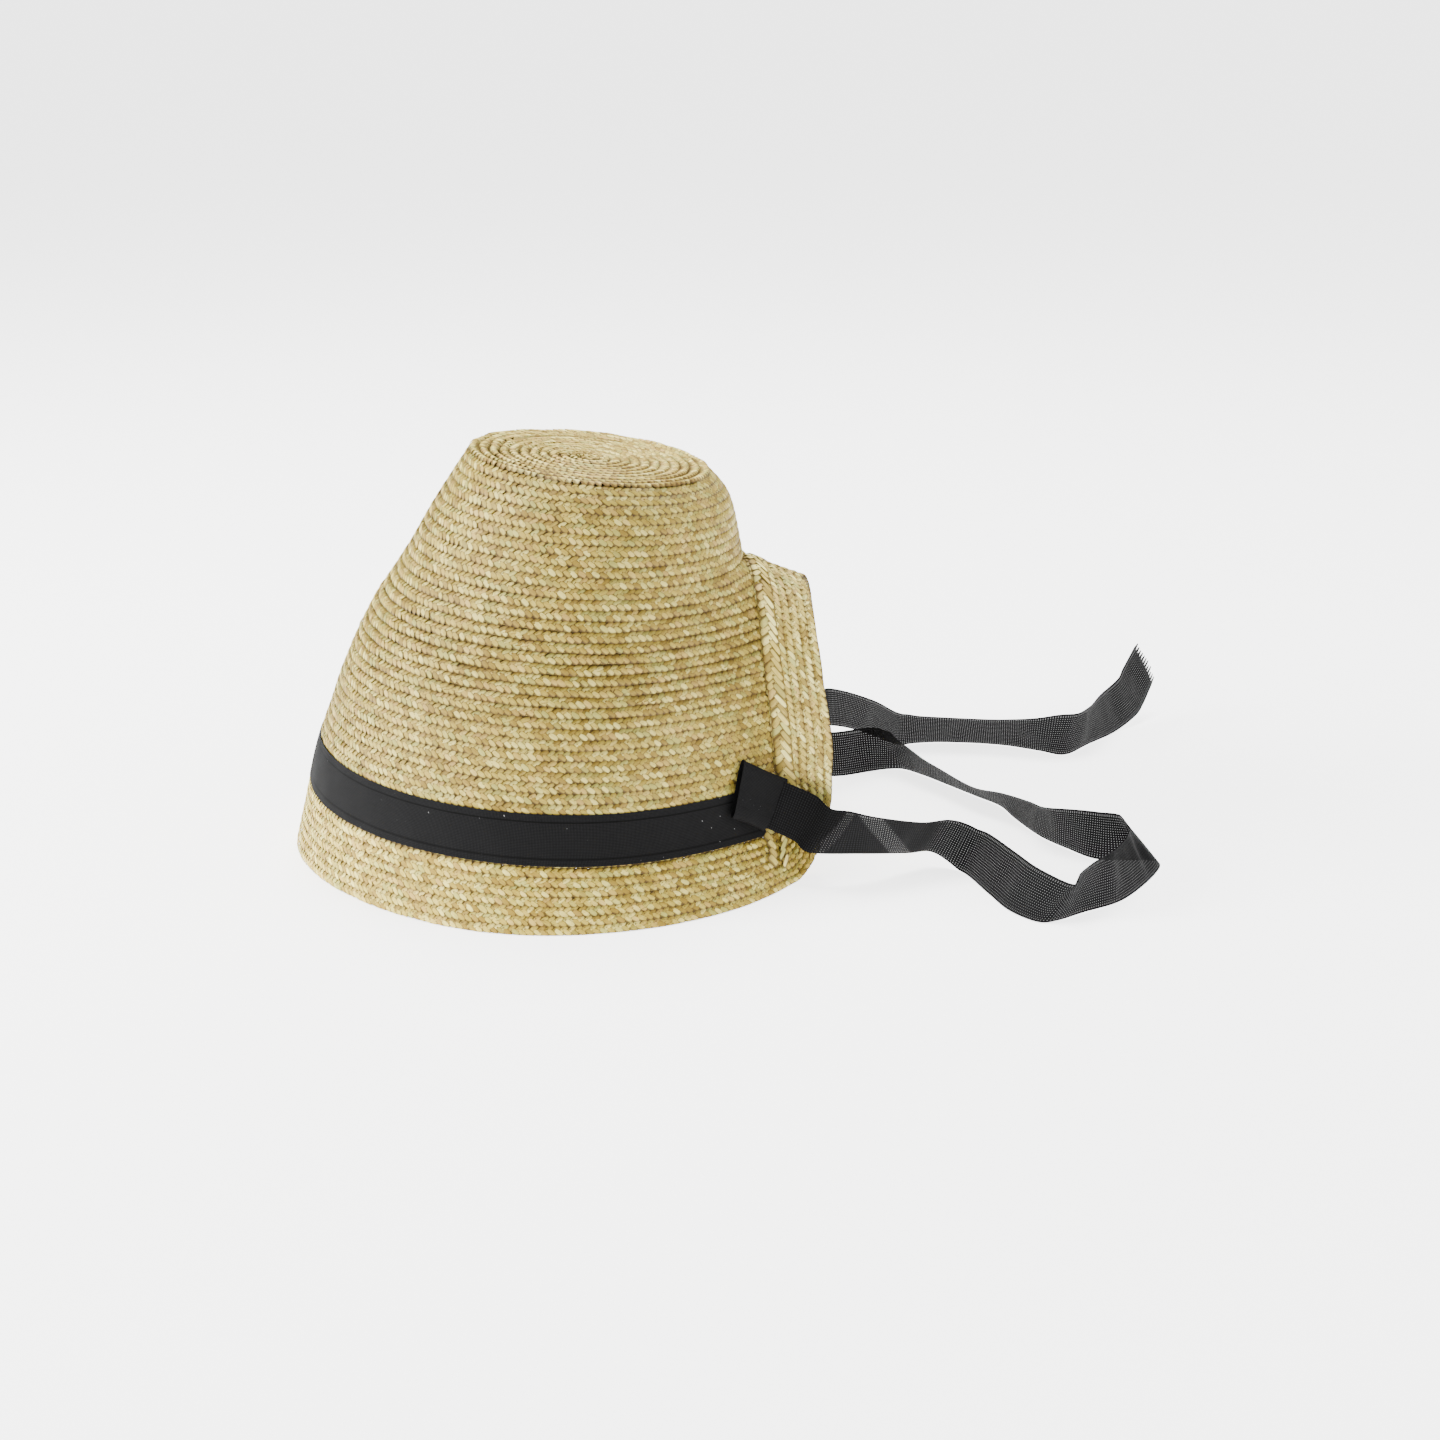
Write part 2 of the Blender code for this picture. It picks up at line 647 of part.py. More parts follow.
def make_tie(name, table, reach, mirror):
    """Tie: one length of ribbon from the knot over the table, standing mostly on its edge."""
    middle, right, up, _ = knot_frame()
    start = middle + right * (RIBBON_WIDTH / 2 + RIBBON_THICKNESS)
    foot = start - up * (RIBBON_WIDTH / 2)
    lower_points = [Vector((foot.x, foot.y * mirror, foot.z))]
    edges = [Vector((up.x, up.y * mirror, up.z))]
    for row in table:
        place = Vector((foot.x + row.ahead * reach, foot.y * mirror + row.across * reach, row.lift * foot.z))
        lean = Vector((row.lean_x, row.lean_y, 0.0))
        lean.z = math.sqrt(max(0.04, 1.0 - lean.length_squared))
        lower_points.append(place)
        edges.append(lean.normalized())
    stations = []
    count = len(lower_points)
    for index in range(count - 1):
        for step in range(TIE_STEPS):
            stations.append(index + step / TIE_STEPS)
    stations.append(count - 1)

    def smooth_at(points, place):
        last = len(points) - 1
        index = min(int(place), last - 1)
        near = [points[min(max(index + step, 0), last)] for step in (-1, 0, 1, 2)]
        return smooth_between(*near, place - index)

    half = RIBBON_THICKNESS / 2
    lines = [[], [], [], []]
    for place in stations:
        low = smooth_at(lower_points, place)
        edge = smooth_at(edges, place).normalized()
        ahead = smooth_at(lower_points, min(place + 0.2, count - 1))
        behind = smooth_at(lower_points, max(place - 0.2, 0.0))
        face = (ahead - behind).cross(edge).normalized() * half
        low = low.copy()
        low.z = max(low.z, abs(face.z))
        for line, point in zip(lines, (low - face, low + face, low + face + edge * RIBBON_WIDTH,
                                       low - face + edge * RIBBON_WIDTH)):
            line.append(point)
    bm = bmesh.new()
    loop = add_lines(bm, lines)
    for low_line, high_line, outward in ((0, 1, True), (1, 2, True), (3, 2, False), (0, 3, False)):
        split_lines(bm, loop[low_line], loop[high_line], outward)
    for column in (0, -1):
        bm.faces.new([line[column] for line in loop])
    return finish_object(name, bm, RIBBON)


def make_bonnet():
    """Make every piece of the bonnet."""
    clear_scene()
    make_crown()
    make_brim()
    make_neck_curtain()
    make_neck_binding()
    make_hat_band()
    make_knot("knot_left", 1.0)
    make_knot("knot_right", -1.0)
    make_tie("tie_left", LEFT_TIE, LEFT_TIE_REACH, 1.0)
    make_tie("tie_right", RIGHT_TIE, RIGHT_TIE_REACH, -1.0)


make_bonnet()
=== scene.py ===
"""Poke bonnet of sewn straw braid with a black ribbon band, ribbon knots and ribbon ties, on a pale table.

The straw form, its braid rows, the ribbons and their finishes are built over the frame of the part. +X
points to the nape, -Y to the wearer's left and +Z to the tip of the crown. Lengths are in metres.
"""

import logging
import math
from dataclasses import dataclass, field, replace
from enum import Enum
from functools import cached_property
from typing import Callable, Iterable, Sequence

import bpy
import numpy as np
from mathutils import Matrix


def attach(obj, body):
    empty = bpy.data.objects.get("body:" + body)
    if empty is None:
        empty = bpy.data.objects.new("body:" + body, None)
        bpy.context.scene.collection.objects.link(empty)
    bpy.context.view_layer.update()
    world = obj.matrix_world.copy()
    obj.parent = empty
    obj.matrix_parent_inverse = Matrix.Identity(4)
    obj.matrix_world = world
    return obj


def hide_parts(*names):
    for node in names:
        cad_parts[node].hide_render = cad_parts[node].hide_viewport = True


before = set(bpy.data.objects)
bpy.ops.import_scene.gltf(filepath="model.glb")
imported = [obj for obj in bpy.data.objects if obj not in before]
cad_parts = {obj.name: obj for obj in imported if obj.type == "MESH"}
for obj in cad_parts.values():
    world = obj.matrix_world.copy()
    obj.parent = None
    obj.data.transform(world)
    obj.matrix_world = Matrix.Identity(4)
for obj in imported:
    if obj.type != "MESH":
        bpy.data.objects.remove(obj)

LOG = logging.getLogger("bonnet")
BODY = "root"
SEED = 31
TABLE_CLEARANCE = 0.0002
TINY = 1e-12
HALVINGS = 40
RUN_POINTS = 241


# Tables


@dataclass(frozen=True)
class Section:
    """One section of the straw form, from the flat tip (first) down to the rim (last).

    height is a share of the hat's height; front, nape and side are shares of the growth from the tip
    to the rim; drop is a share of the drop of the nape.
    """

    height: float
    front: float
    nape: float
    side: float
    drop: float


SECTIONS: tuple[Section, ...] = (
    Section(1.000, 0.000, 0.000, 0.000, 1.00),
    Section(0.938, 0.095, 0.150, 0.125, 0.85),
    Section(0.853, 0.212, 0.220, 0.231, 0.82),
    Section(0.743, 0.347, 0.276, 0.338, 0.85),
    Section(0.595, 0.544, 0.339, 0.475, 0.90),
    Section(0.435, 0.706, 0.417, 0.612, 1.00),
    Section(0.337, 0.780, 0.449, 0.675, 1.08),
    Section(0.282, 0.824, 0.472, 0.712, 1.10),
    Section(0.138, 0.907, 0.575, 0.812, 1.20),
    Section(0.000, 1.000, 1.000, 1.000, 0.00),
)


@dataclass(frozen=True)
class Station:
    """One station of a tie, which stands mostly on its edge.

    ahead and across place its lower edge past the knot as shares of the tie's reach; lift is a share
    of the knot's height over the table; lean_x and lean_y place its upper edge beside its lower edge
    as shares of the ribbon's width.
    """

    ahead: float
    across: float
    lift: float
    lean_x: float
    lean_y: float


LEFT_TIE: tuple[Station, ...] = (
    Station(0.06, -0.01, 0.81, 0.44, 0.28),
    Station(0.10, -0.03, 0.63, 0.48, 0.12),
    Station(0.23, 0.00, 0.52, 0.08, -0.32),
    Station(0.35, 0.07, 0.33, 0.20, -0.48),
    Station(0.42, 0.10, 0.26, 0.32, -0.40),
    Station(0.49, 0.05, 0.00, 0.36, -0.08),
    Station(0.54, -0.09, 0.00, 0.48, 0.08),
    Station(0.58, -0.20, 0.00, 0.56, 0.20),
    Station(0.64, -0.27, 0.00, 0.68, 0.16),
    Station(0.69, -0.26, 0.00, 0.40, 0.16),
    Station(0.76, -0.21, 0.00, 0.16, 0.16),
    Station(0.86, -0.14, 0.00, -0.12, 0.32),
    Station(0.95, -0.01, 0.00, -0.36, 0.44),
    Station(1.00, 0.10, 0.00, -0.60, 0.48),
    Station(0.97, 0.13, 0.00, -0.48, 0.32),
    Station(0.92, 0.13, 0.00, -0.24, 0.16),
    Station(0.84, 0.14, 0.00, 0.04, 0.08),
    Station(0.78, 0.21, 0.00, -0.04, -0.24),
    Station(0.72, 0.30, 0.00, -0.04, -0.52),
    Station(0.67, 0.43, 0.00, 0.16, -0.72),
    Station(0.64, 0.53, 0.00, -0.08, -0.80),
    Station(0.58, 0.61, 0.00, -0.16, -0.84),
    Station(0.49, 0.73, 0.00, -0.08, -0.80),
    Station(0.45, 0.78, 0.00, -0.12, -0.72),
    Station(0.40, 0.83, 0.00, -0.20, -0.44),
    Station(0.35, 0.83, 0.00, 0.00, -0.20),
    Station(0.30, 0.81, 0.00, -0.12, 0.24),
    Station(0.20, 0.77, 0.00, -0.08, 0.28),
    Station(0.10, 0.81, 0.00, -0.08, 0.20),
)
RIGHT_TIE: tuple[Station, ...] = (
    Station(0.09, 0.03, 1.11, 0.28, -0.24),
    Station(0.16, 0.07, 1.07, 0.00, -0.28),
    Station(0.24, 0.16, 0.67, 0.16, -0.40),
    Station(0.33, 0.27, 0.07, -0.04, -0.40),
    Station(0.40, 0.30, 0.00, -0.12, -0.54),
    Station(0.49, 0.30, 0.00, 0.00, -0.60),
    Station(0.59, 0.28, 0.00, -0.08, -0.56),
    Station(0.67, 0.24, 0.00, 0.00, -0.36),
    Station(0.73, 0.21, 0.00, 0.24, 0.12),
    Station(0.80, 0.29, 0.00, -0.04, -0.16),
    Station(0.88, 0.38, 0.04, -0.32, 0.16),
    Station(0.94, 0.45, 0.19, -0.44, 0.20),
    Station(0.965, 0.49, 0.34, -0.50, 0.24),
    Station(0.995, 0.545, 0.66, -0.44, 0.24),
)


class Facing(Enum):
    """Side of the straw wall that a layer of braid lies on."""

    OUTER = 1.0
    INNER = -1.0


class Side(Enum):
    """Wearer's side, with the sign that it has along Y."""

    LEFT = 1.0
    RIGHT = -1.0


# Small helpers


Numbers = float | np.ndarray


def blend(low: Numbers, high: Numbers, share: Numbers) -> Numbers:
    """Value at a share of the way from low to high.

    Args:
        low: Value at share 0.
        high: Value at share 1.
        share: Share of the way.

    Returns:
        The value, of the same kind as low and high.
    """
    return low + (high - low) * share


def smooth_between(before: Numbers, low: Numbers, high: Numbers, after: Numbers,
                   share: Numbers) -> Numbers:
    """Catmull-Rom value between low and high.

    Args:
        before: Value one place before low.
        low: Value at share 0.
        high: Value at share 1.
        after: Value one place after high.
        share: Share of the way.

    Returns:
        The value at that share.
    """
    slope_low = (high - before) / 2
    slope_high = (after - low) / 2
    s2 = share * share
    s3 = s2 * share
    return (
        (2 * s3 - 3 * s2 + 1) * low
        + (s3 - 2 * s2 + share) * slope_low
        + (3 * s2 - 2 * s3) * high
        + (s3 - s2) * slope_high
    )


def unit(vectors: np.ndarray) -> np.ndarray:
    """Vectors at length one.

    Args:
        vectors: Array whose last axis is x, y, z.

    Returns:
        An array of the same shape.
    """
    length = np.linalg.norm(vectors, axis=-1, keepdims=True)
    return vectors / np.maximum(length, TINY)


def smooth_path(points: np.ndarray, places: np.ndarray) -> np.ndarray:
    """Points of a smooth path through given points.

    Args:
        points: The given points, one a row.
        places: Places along the path, counted in given points.

    Returns:
        One point for each place.
    """
    last = len(points) - 1
    index = np.clip(np.floor(places).astype(int), 0, last - 1)
    near = [points[np.clip(index + step, 0, last)] for step in (-1, 0, 1, 2)]
    return smooth_between(*near, (places - index)[:, None])


def run_along(points: np.ndarray) -> np.ndarray:
    """Length run along a line of points.

    Args:
        points: Points, one a row.

    Returns:
        The run to each point, from 0.
    """
    steps = np.linalg.norm(np.diff(points, axis=0), axis=1)
    return np.concatenate([[0.0], np.cumsum(steps)])


# Straw form


@dataclass(frozen=True)
class StrawForm:
    """Shape of the straw: crown, brim and neck curtain, as surfaces in the part's frame."""

    rim_radius: float = 0.140
    rim_pull: float = 0.005
    tip_radius: float = 0.060
    hat_height: float = 0.200
    tip_shift: float = 0.0165
    nape_drop: float = 0.0068
    brim_height: float = 0.029
    braid_pitch: float = 0.0052
    neck_width: float = 0.106
    neck_rise: float = 0.131
    neck_flare: float = 0.0155
    flare_start: float = math.radians(62)
    curtain_top_depth: float = 0.0320
    curtain_side_depth: float = 0.0305
    curtain_corner_depth: float = 0.0270
    curtain_droop: float = math.radians(21)
    curtain_spread: float = math.radians(10)
    curtain_start: float = math.radians(8)
    curtain_full: float = math.radians(20)
    rim_corner: float = math.radians(33)
    corner_fullness: float = 0.72
    ribbon_width: float = 0.025
    seam_gap: float = 0.0003
    corner_dip: float = 0.4
    slope_step: float = 0.01

    @property
    def rim_level(self) -> int:
        """Level of the rim, the last section."""
        return len(SECTIONS) - 1

    @cached_property
    def columns(self) -> dict[str, np.ndarray]:
        """The columns of the section table."""
        names = ("height", "front", "nape", "side", "drop")
        return {name: np.array([getattr(row, name) for row in SECTIONS]) for name in names}

    def table_value(self, name: str, level: np.ndarray) -> np.ndarray:
        """Smooth value of a column of the section table.

        Args:
            name: The column.
            level: Places counted in sections.

        Returns:
            One value for each place.
        """
        column = self.columns[name]
        last = len(column) - 1
        index = np.clip(np.floor(level).astype(int), 0, last - 1)
        near = [column[np.clip(index + step, 0, last)] for step in (-1, 0, 1, 2)]
        return smooth_between(*near, level - index)

    def lengths(self, level: np.ndarray) -> tuple[np.ndarray, ...]:
        """Height, front, nape and side lengths and nape drop.

        Args:
            level: Places counted in sections.

        Returns:
            The five arrays.
        """
        level = np.asarray(level, float)
        height = self.hat_height * self.table_value("height", level)
        front_tip = self.tip_radius - self.tip_shift
        nape_tip = self.tip_radius + self.tip_shift
        front = blend(front_tip, self.rim_radius, self.table_value("front", level))
        nape = blend(nape_tip, self.rim_radius, self.table_value("nape", level))
        side = blend(self.tip_radius, self.rim_radius, self.table_value("side", level))
        return height, front, nape, side, self.nape_drop * self.table_value("drop", level)

    def nape_height(self, level: np.ndarray) -> np.ndarray:
        """Height of the nape point over the table at a level."""
        lengths = self.lengths(level)
        return lengths[0] - lengths[4]

    def level_at(self, wanted: float, measure: Callable, low: float, high: float) -> float:
        """Level at which a falling measure reaches the wanted value.

        Args:
            wanted: The value.
            measure: Function of a level.
            low: Lowest level to try.
            high: Highest level to try.

        Returns:
            The level.
        """
        for _ in range(HALVINGS):
            middle = (low + high) / 2
            if float(measure(middle)) > wanted:
                low = middle
            else:
                high = middle
        return (low + high) / 2

    def side_run(self, start: float, end: float) -> tuple[np.ndarray, np.ndarray]:
        """Length run down the side.

        Args:
            start: First level.
            end: Last level.

        Returns:
            Levels from start to end and the run to each.
        """
        levels = np.linspace(start, end, RUN_POINTS)
        height, _, _, side, _ = self.lengths(levels)
        return levels, run_along(np.stack([height, side], axis=1))

    def level_after(self, start: float, end: float, run: float) -> float:
        """Level reached after a run down the side from start."""
        levels, runs = self.side_run(start, end)
        return float(np.interp(run, runs, levels))

    @cached_property
    def crown_end(self) -> float:
        """Level of the crown's foot."""
        return self.level_at(self.brim_height, lambda level: self.lengths(level)[0], 0.0, self.rim_level)

    @cached_property
    def band_start(self) -> float:
        """Level of the band's upper edge."""
        return self.level_after(self.crown_end, 0.0, self.ribbon_width)

    @cached_property
    def row_edges(self) -> list[float]:
        """Edges of the crown's rows.

        Returns:
            Their levels from the tip down to the band.
        """
        run = self.side_run(0.0, self.band_start)[1][-1]
        rows = round(run / self.braid_pitch)
        inner = [self.level_after(0.0, self.band_start, run * row / rows) for row in range(rows)]
        return inner + [self.band_start]

    @cached_property
    def neck_base(self) -> float:
        """Height of the neck opening's foot."""
        return float(self.nape_height(self.crown_end))

    @cached_property
    def neck_top_level(self) -> float:
        """Row edge at the top of the neck opening."""
        wanted = self.neck_base + self.neck_rise
        return min(self.row_edges[1:], key=lambda level: abs(float(self.nape_height(level)) - wanted))

    @cached_property
    def neck_top(self) -> float:
        """Height of the top of the neck opening."""
        return float(self.nape_height(self.neck_top_level))

    @cached_property
    def seam_level(self) -> float:
        """Level just below the crown's foot, where the brim starts."""
        run = self.side_run(self.crown_end, self.rim_level)[1][-1]
        return self.crown_end + self.seam_gap / run * (self.rim_level - self.crown_end)

    def neck_share(self, level: np.ndarray) -> np.ndarray:
        """Width of the neck opening as a share of its width at the bottom.

        Args:
            level: Places counted in sections.

        Returns:
            One share for each place.
        """
        level = np.asarray(level, float)
        rise = (self.nape_height(level) - self.neck_base) / (self.neck_top - self.neck_base)
        share = np.sqrt(np.maximum(0.0, 1.0 - np.maximum(0.0, rise) ** 2))
        return np.where(level > self.neck_top_level, share, 0.0)

    def neck_angle(self, level: np.ndarray) -> np.ndarray:
        """Angle from the nape at which the straw ends at a level."""
        side = self.lengths(np.maximum(level, 0.0))[3]
        return np.arcsin(self.neck_share(level) * self.neck_width / 2 / side)

    def point(self, level: np.ndarray, angle: np.ndarray) -> np.ndarray:
        """Points of the straw form.

        Args:
            level: Places counted in sections; -1 to 0 lies on the flat tip.
            angle: Angles from the nape over the wearer's left to the front.

        Returns:
            An array with x, y and z along its last axis.
        """
        level, angle = np.broadcast_arrays(np.asarray(level, float), np.asarray(angle, float))
        height, front, nape, side, drop = self.lengths(np.maximum(level, 0.0))
        reach = 1.0 + np.minimum(level, 0.0)
        x = (nape - front) / 2 + reach * (nape + front) / 2 * np.cos(angle)
        y = -reach * side * np.sin(angle)
        z = height - reach * drop * np.cos(angle)
        off_nape = np.minimum(angle, 2 * math.pi - angle)
        share = np.maximum(self.flare_start - off_nape, 0.0) / (self.flare_start - self.neck_angle(level))
        x = x + self.neck_flare * self.neck_share(level) * share * share
        return np.stack([x, y, z], axis=-1)

    def normal(self, level: np.ndarray, angle: np.ndarray) -> np.ndarray:
        """Outward normals of the straw form.

        Args:
            level: Places counted in sections.
            angle: Angles from the nape over the wearer's left to the front.

        Returns:
            Unit vectors, with x, y and z along the last axis.
        """
        step = self.slope_step
        level = np.asarray(level, float)
        across = self.point(level + step, angle) - self.point(level - step, angle)
        along = self.point(level, angle + step) - self.point(level, angle - step)
        return unit(np.cross(along, across))

    def neck_edge(self, rise_angle: float) -> np.ndarray:
        """Point of the neck opening's left edge.

        Args:
            rise_angle: 0 at its foot to 90 degrees at its top.

        Returns:
            The point.
        """
        height = blend(self.neck_base, self.neck_top, math.sin(rise_angle))
        level = self.level_at(height, self.nape_height, self.neck_top_level, self.crown_end)
        return self.point(level, self.neck_angle(level))

    def curtain_reach(self, rise_angle: float) -> np.ndarray:
        """Vector from the neck edge to the curtain's outer edge, on the wearer's left.

        Args:
            rise_angle: 0 at the opening's foot to 90 degrees at its top.

        Returns:
            The vector.
        """
        rise = math.sin(rise_angle)
        depth = blend(self.curtain_side_depth, self.curtain_top_depth, rise)
        past = max(0.0, rise_angle - self.curtain_start) / (self.curtain_full - self.curtain_start)
        depth = blend(depth, self.curtain_corner_depth, max(0.0, 1.0 - past))
        down = math.sin(self.curtain_droop) * rise
        sideways = math.sin(self.curtain_spread) * math.cos(rise_angle)
        return np.array([math.sqrt(1 - down * down - sideways * sideways), -sideways, -down]) * depth

    def rim_point(self, angle: float) -> np.ndarray:
        """Point of the rim, which draws in a little between the side and the front.

        Args:
            angle: Angle from the nape over the wearer's left.

        Returns:
            The point.
        """
        radius = self.rim_radius
        if angle > math.pi / 2:
            radius -= self.rim_pull * math.sin(2 * angle) ** 2
        return np.array([radius * math.cos(angle), -radius * math.sin(angle), 0.0])

    def flange_pair(self, share: float) -> tuple[np.ndarray, np.ndarray]:
        """Inner and outer point of the flange, brim and curtain, on the wearer's left.

        Args:
            share: 0 at the front, 1 where the corner starts, 2 where the curtain's leg starts and 3
                at the top of the neck opening.

        Returns:
            The two points.
        """
        gap = self.seam_gap
        end_angle = float(self.neck_angle(self.crown_end))
        if share <= 1.0:
            inner = self.point(self.seam_level, blend(math.pi, end_angle, share))
            return inner, self.rim_point(blend(math.pi, self.rim_corner, share))
        if share < 2.0:
            turn = share - 1.0
            weights = ((1 - turn) ** 2, 2 * turn * (1 - turn), turn * turn)
            leg = self.neck_edge(self.curtain_start)
            reach = self.curtain_reach(self.curtain_start)
            foot = self.point(self.crown_end, end_angle)
            below = self.point(self.seam_level, end_angle)
            inner_control = foot + (unit(reach) + np.array([0.0, 0.0, -self.corner_dip])) * gap
            inner_knots = (below, inner_control, leg + unit(reach) * gap)
            rim_end = self.rim_point(self.rim_corner)
            end = leg + reach
            control = np.array([blend(rim_end[0], end[0], self.corner_fullness), end[1], 0.0])
            outer_knots = (rim_end, control, end)
            inner = sum(weight * knot for weight, knot in zip(weights, inner_knots))
            outer = sum(weight * knot for weight, knot in zip(weights, outer_knots))
            return inner, outer
        rise_angle = blend(self.curtain_start, math.pi / 2, min(share - 2.0, 1.0))
        reach = self.curtain_reach(rise_angle)
        edge = self.neck_edge(rise_angle)
        return edge + unit(reach) * gap, edge + reach


# Braid


@dataclass(frozen=True)
class Strip:
    """One row of braid: its upper and lower edge lines on the straw form, and their normals."""

    upper: np.ndarray
    lower: np.ndarray
    normals: np.ndarray
    closed: bool = False
    open_share: Callable[[np.ndarray], np.ndarray] | None = None

    @cached_property
    def runs(self) -> np.ndarray:
        """Length run along the row's middle."""
        return run_along((self.upper + self.lower) / 2)

    @property
    def length(self) -> float:
        """Length of the row's middle."""
        return float(self.runs[-1])

    @cached_property
    def width(self) -> float:
        """Width of the row."""
        return float(np.linalg.norm(self.lower - self.upper, axis=1).mean())

    def line(self, across: float) -> tuple[np.ndarray, np.ndarray, np.ndarray]:
        """A line of points along the row, trimmed at the opening.

        Args:
            across: 0 for the upper edge, 1 for the lower edge.

        Returns:
            The points, their normals and their runs.
        """
        last = len(self.runs) - 1
        opening = 0.0 if self.open_share is None else float(self.open_share(np.array(across)))
        column = np.linspace(opening * last, (1.0 - opening) * last, last + 1)
        numbers = np.arange(last + 1)
        edge = self.upper if across == 0.0 else self.lower
        points = np.stack([np.interp(column, numbers, edge[:, axis]) for axis in range(3)], axis=1)
        normals = np.stack([np.interp(column, numbers, self.normals[:, axis]) for axis in range(3)], axis=1)
        return points, unit(normals), np.interp(column, numbers, self.runs)

    def kept(self, along: np.ndarray, across: np.ndarray) -> np.ndarray:
        """Which places lie on the row and not in the opening at its ends.

        Args:
            along: Distances along the row's middle.
            across: 0 at the upper edge to 1 at the lower edge.

        Returns:
            True or False for each place.
        """
        if self.open_share is None:
            return np.ones(len(along), bool)
        share = np.interp(np.mod(along, self.length), self.runs, np.linspace(0.0, 1.0, len(self.runs)))
        opening = self.open_share(np.clip(across, 0.0, 1.0))
        return (share > opening) & (share < 1.0 - opening)

    def place(self, along: np.ndarray, across: np.ndarray, lift: np.ndarray) -> np.ndarray:
        """Points over the row.

        Args:
            along: Distances along the row's middle.
            across: 0 at the upper edge to 1 at the lower edge.
            lift: Heights over the surface.

        Returns:
            An array with x, y and z along its last axis.
        """
        if self.closed:
            along = np.mod(along, self.length)
        last = len(self.runs) - 1
        column = np.interp(along, self.runs, np.arange(last + 1))
        if self.open_share is not None:
            opening = self.open_share(np.clip(across, 0.0, 1.0)) * last
            column = np.clip(column, opening, last - opening)
        index = np.clip(np.floor(column).astype(int), 0, last - 1)
        share = (column - index)[..., None]
        upper = blend(self.upper[index], self.upper[index + 1], share)
        lower = blend(self.lower[index], self.lower[index + 1], share)
        normal = unit(blend(self.normals[index], self.normals[index + 1], share))
        beyond = np.where(along < 0, along, np.maximum(along - self.length, 0.0))[..., None]
        ahead = unit(self.lower[index + 1] + self.upper[index + 1] - (self.lower[index] + self.upper[index]))
        return blend(upper, lower, np.asarray(across)[..., None]) + normal * lift[..., None] + ahead * beyond


@dataclass(frozen=True)
class BraidStyle:
    """How a row is plaited: the size, slant and roundness of its leaves of flattened straw.

    taper, end_fall and end_lean are shares of the leaf's width, of its dome and of its tilt. tuck,
    overhang and shade_width are shares of the row's width.
    """

    ranks: int = 2
    spacing: float = 0.0035
    leaf_length: float = 0.0054
    leaf_width: float = 0.0032
    slant: float = math.radians(32)
    dome: float = 0.00034
    tilt: float = 0.00030
    taper: float = 0.45
    end_fall: float = 0.75
    end_lean: float = 0.5
    proud: float = 0.0009
    edge_drop: float = 0.0007
    tuck: float = 0.10
    overhang: float = 0.10
    steps_along: int = 3
    steps_across: int = 3
    lift: float = 0.0001
    flat: float = 0.0
    shade_width: float = 0.26

    def grid(self) -> tuple[np.ndarray, np.ndarray]:
        """Places of a leaf's points.

        Returns:
            Places along the leaf and places across it, each from -1 to 1.
        """
        along = np.linspace(-1.0, 1.0, self.steps_along + 1)
        across = np.linspace(-1.0, 1.0, self.steps_across + 1)
        u, v = np.meshgrid(along, across, indexing="ij")
        return u.ravel(), v.ravel()


@dataclass(frozen=True)
class LeafSpread:
    """How much the leaves differ by chance, as standard deviations.

    along, across and size are shares of the spacing, of the row's width and of the leaf.
    """

    along: float = 0.055
    across: float = 0.035
    size: float = 0.06
    turn: float = math.radians(3.5)
    lift: float = 0.00003
    light: float = 0.24
    hue: float = 0.16


@dataclass(frozen=True)
class RowShape:
    """How a row rolls over the next one and where it lies in shadow.

    Places are shares of the row's width, from 0 at its upper edge to 1 at its lower edge.
    """

    bulge: float = 0.25
    roll_start: float = 0.78
    roll_width: float = 0.32
    head_end: float = 0.12
    head_width: float = 0.22
    head_drop: float = 0.0004
    edge_wander: float = 0.05
    shade_start: float = -0.02
    lip_start: float = 0.93
    lip_width: float = 0.12
    lip_shade: float = 0.7
    least_shade: float = 0.10
    groove_shade: float = 0.62


@dataclass
class LeafBatch:
    """Leaves of straw gathered for one mesh."""

    points: list[np.ndarray] = field(default_factory=list)
    uvs: list[np.ndarray] = field(default_factory=list)
    tones: list[np.ndarray] = field(default_factory=list)
    faces: list[np.ndarray] = field(default_factory=list)
    count: int = 0

    def add(self, points: np.ndarray, uvs: np.ndarray, tones: np.ndarray, faces: np.ndarray) -> None:
        """Add leaves.

        Args:
            points: One row of points for each leaf.
            uvs: Place on the leaf of each point.
            tones: Four shares for each point: lightness, hue, chance and shadow.
            faces: Corner numbers of a leaf's faces.
        """
        leaves, each, _ = points.shape
        self.points.append(points.reshape(-1, 3))
        self.uvs.append(np.tile(uvs, (leaves, 1)))
        self.tones.append(tones.reshape(-1, 4))
        starts = self.count + np.arange(leaves)[:, None, None] * each
        self.faces.append((faces[None] + starts).reshape(-1, 4))
        self.count += leaves * each

    def build(self, name: str) -> bpy.types.Object:
        """Make the mesh object.

        Args:
            name: The piece's name.

        Returns:
            The object, linked to the scene.
        """
        return mesh_object(name, above_table(np.concatenate(self.points)), np.concatenate(self.faces),
                           np.concatenate(self.uvs), np.concatenate(self.tones))


def above_table(points: np.ndarray) -> np.ndarray:
    """Points with those that lie under the table brought up to it.

    Args:
        points: Points, one a row.

    Returns:
        The points.
    """
    return np.column_stack([points[:, :2], np.maximum(points[:, 2], TABLE_CLEARANCE)])


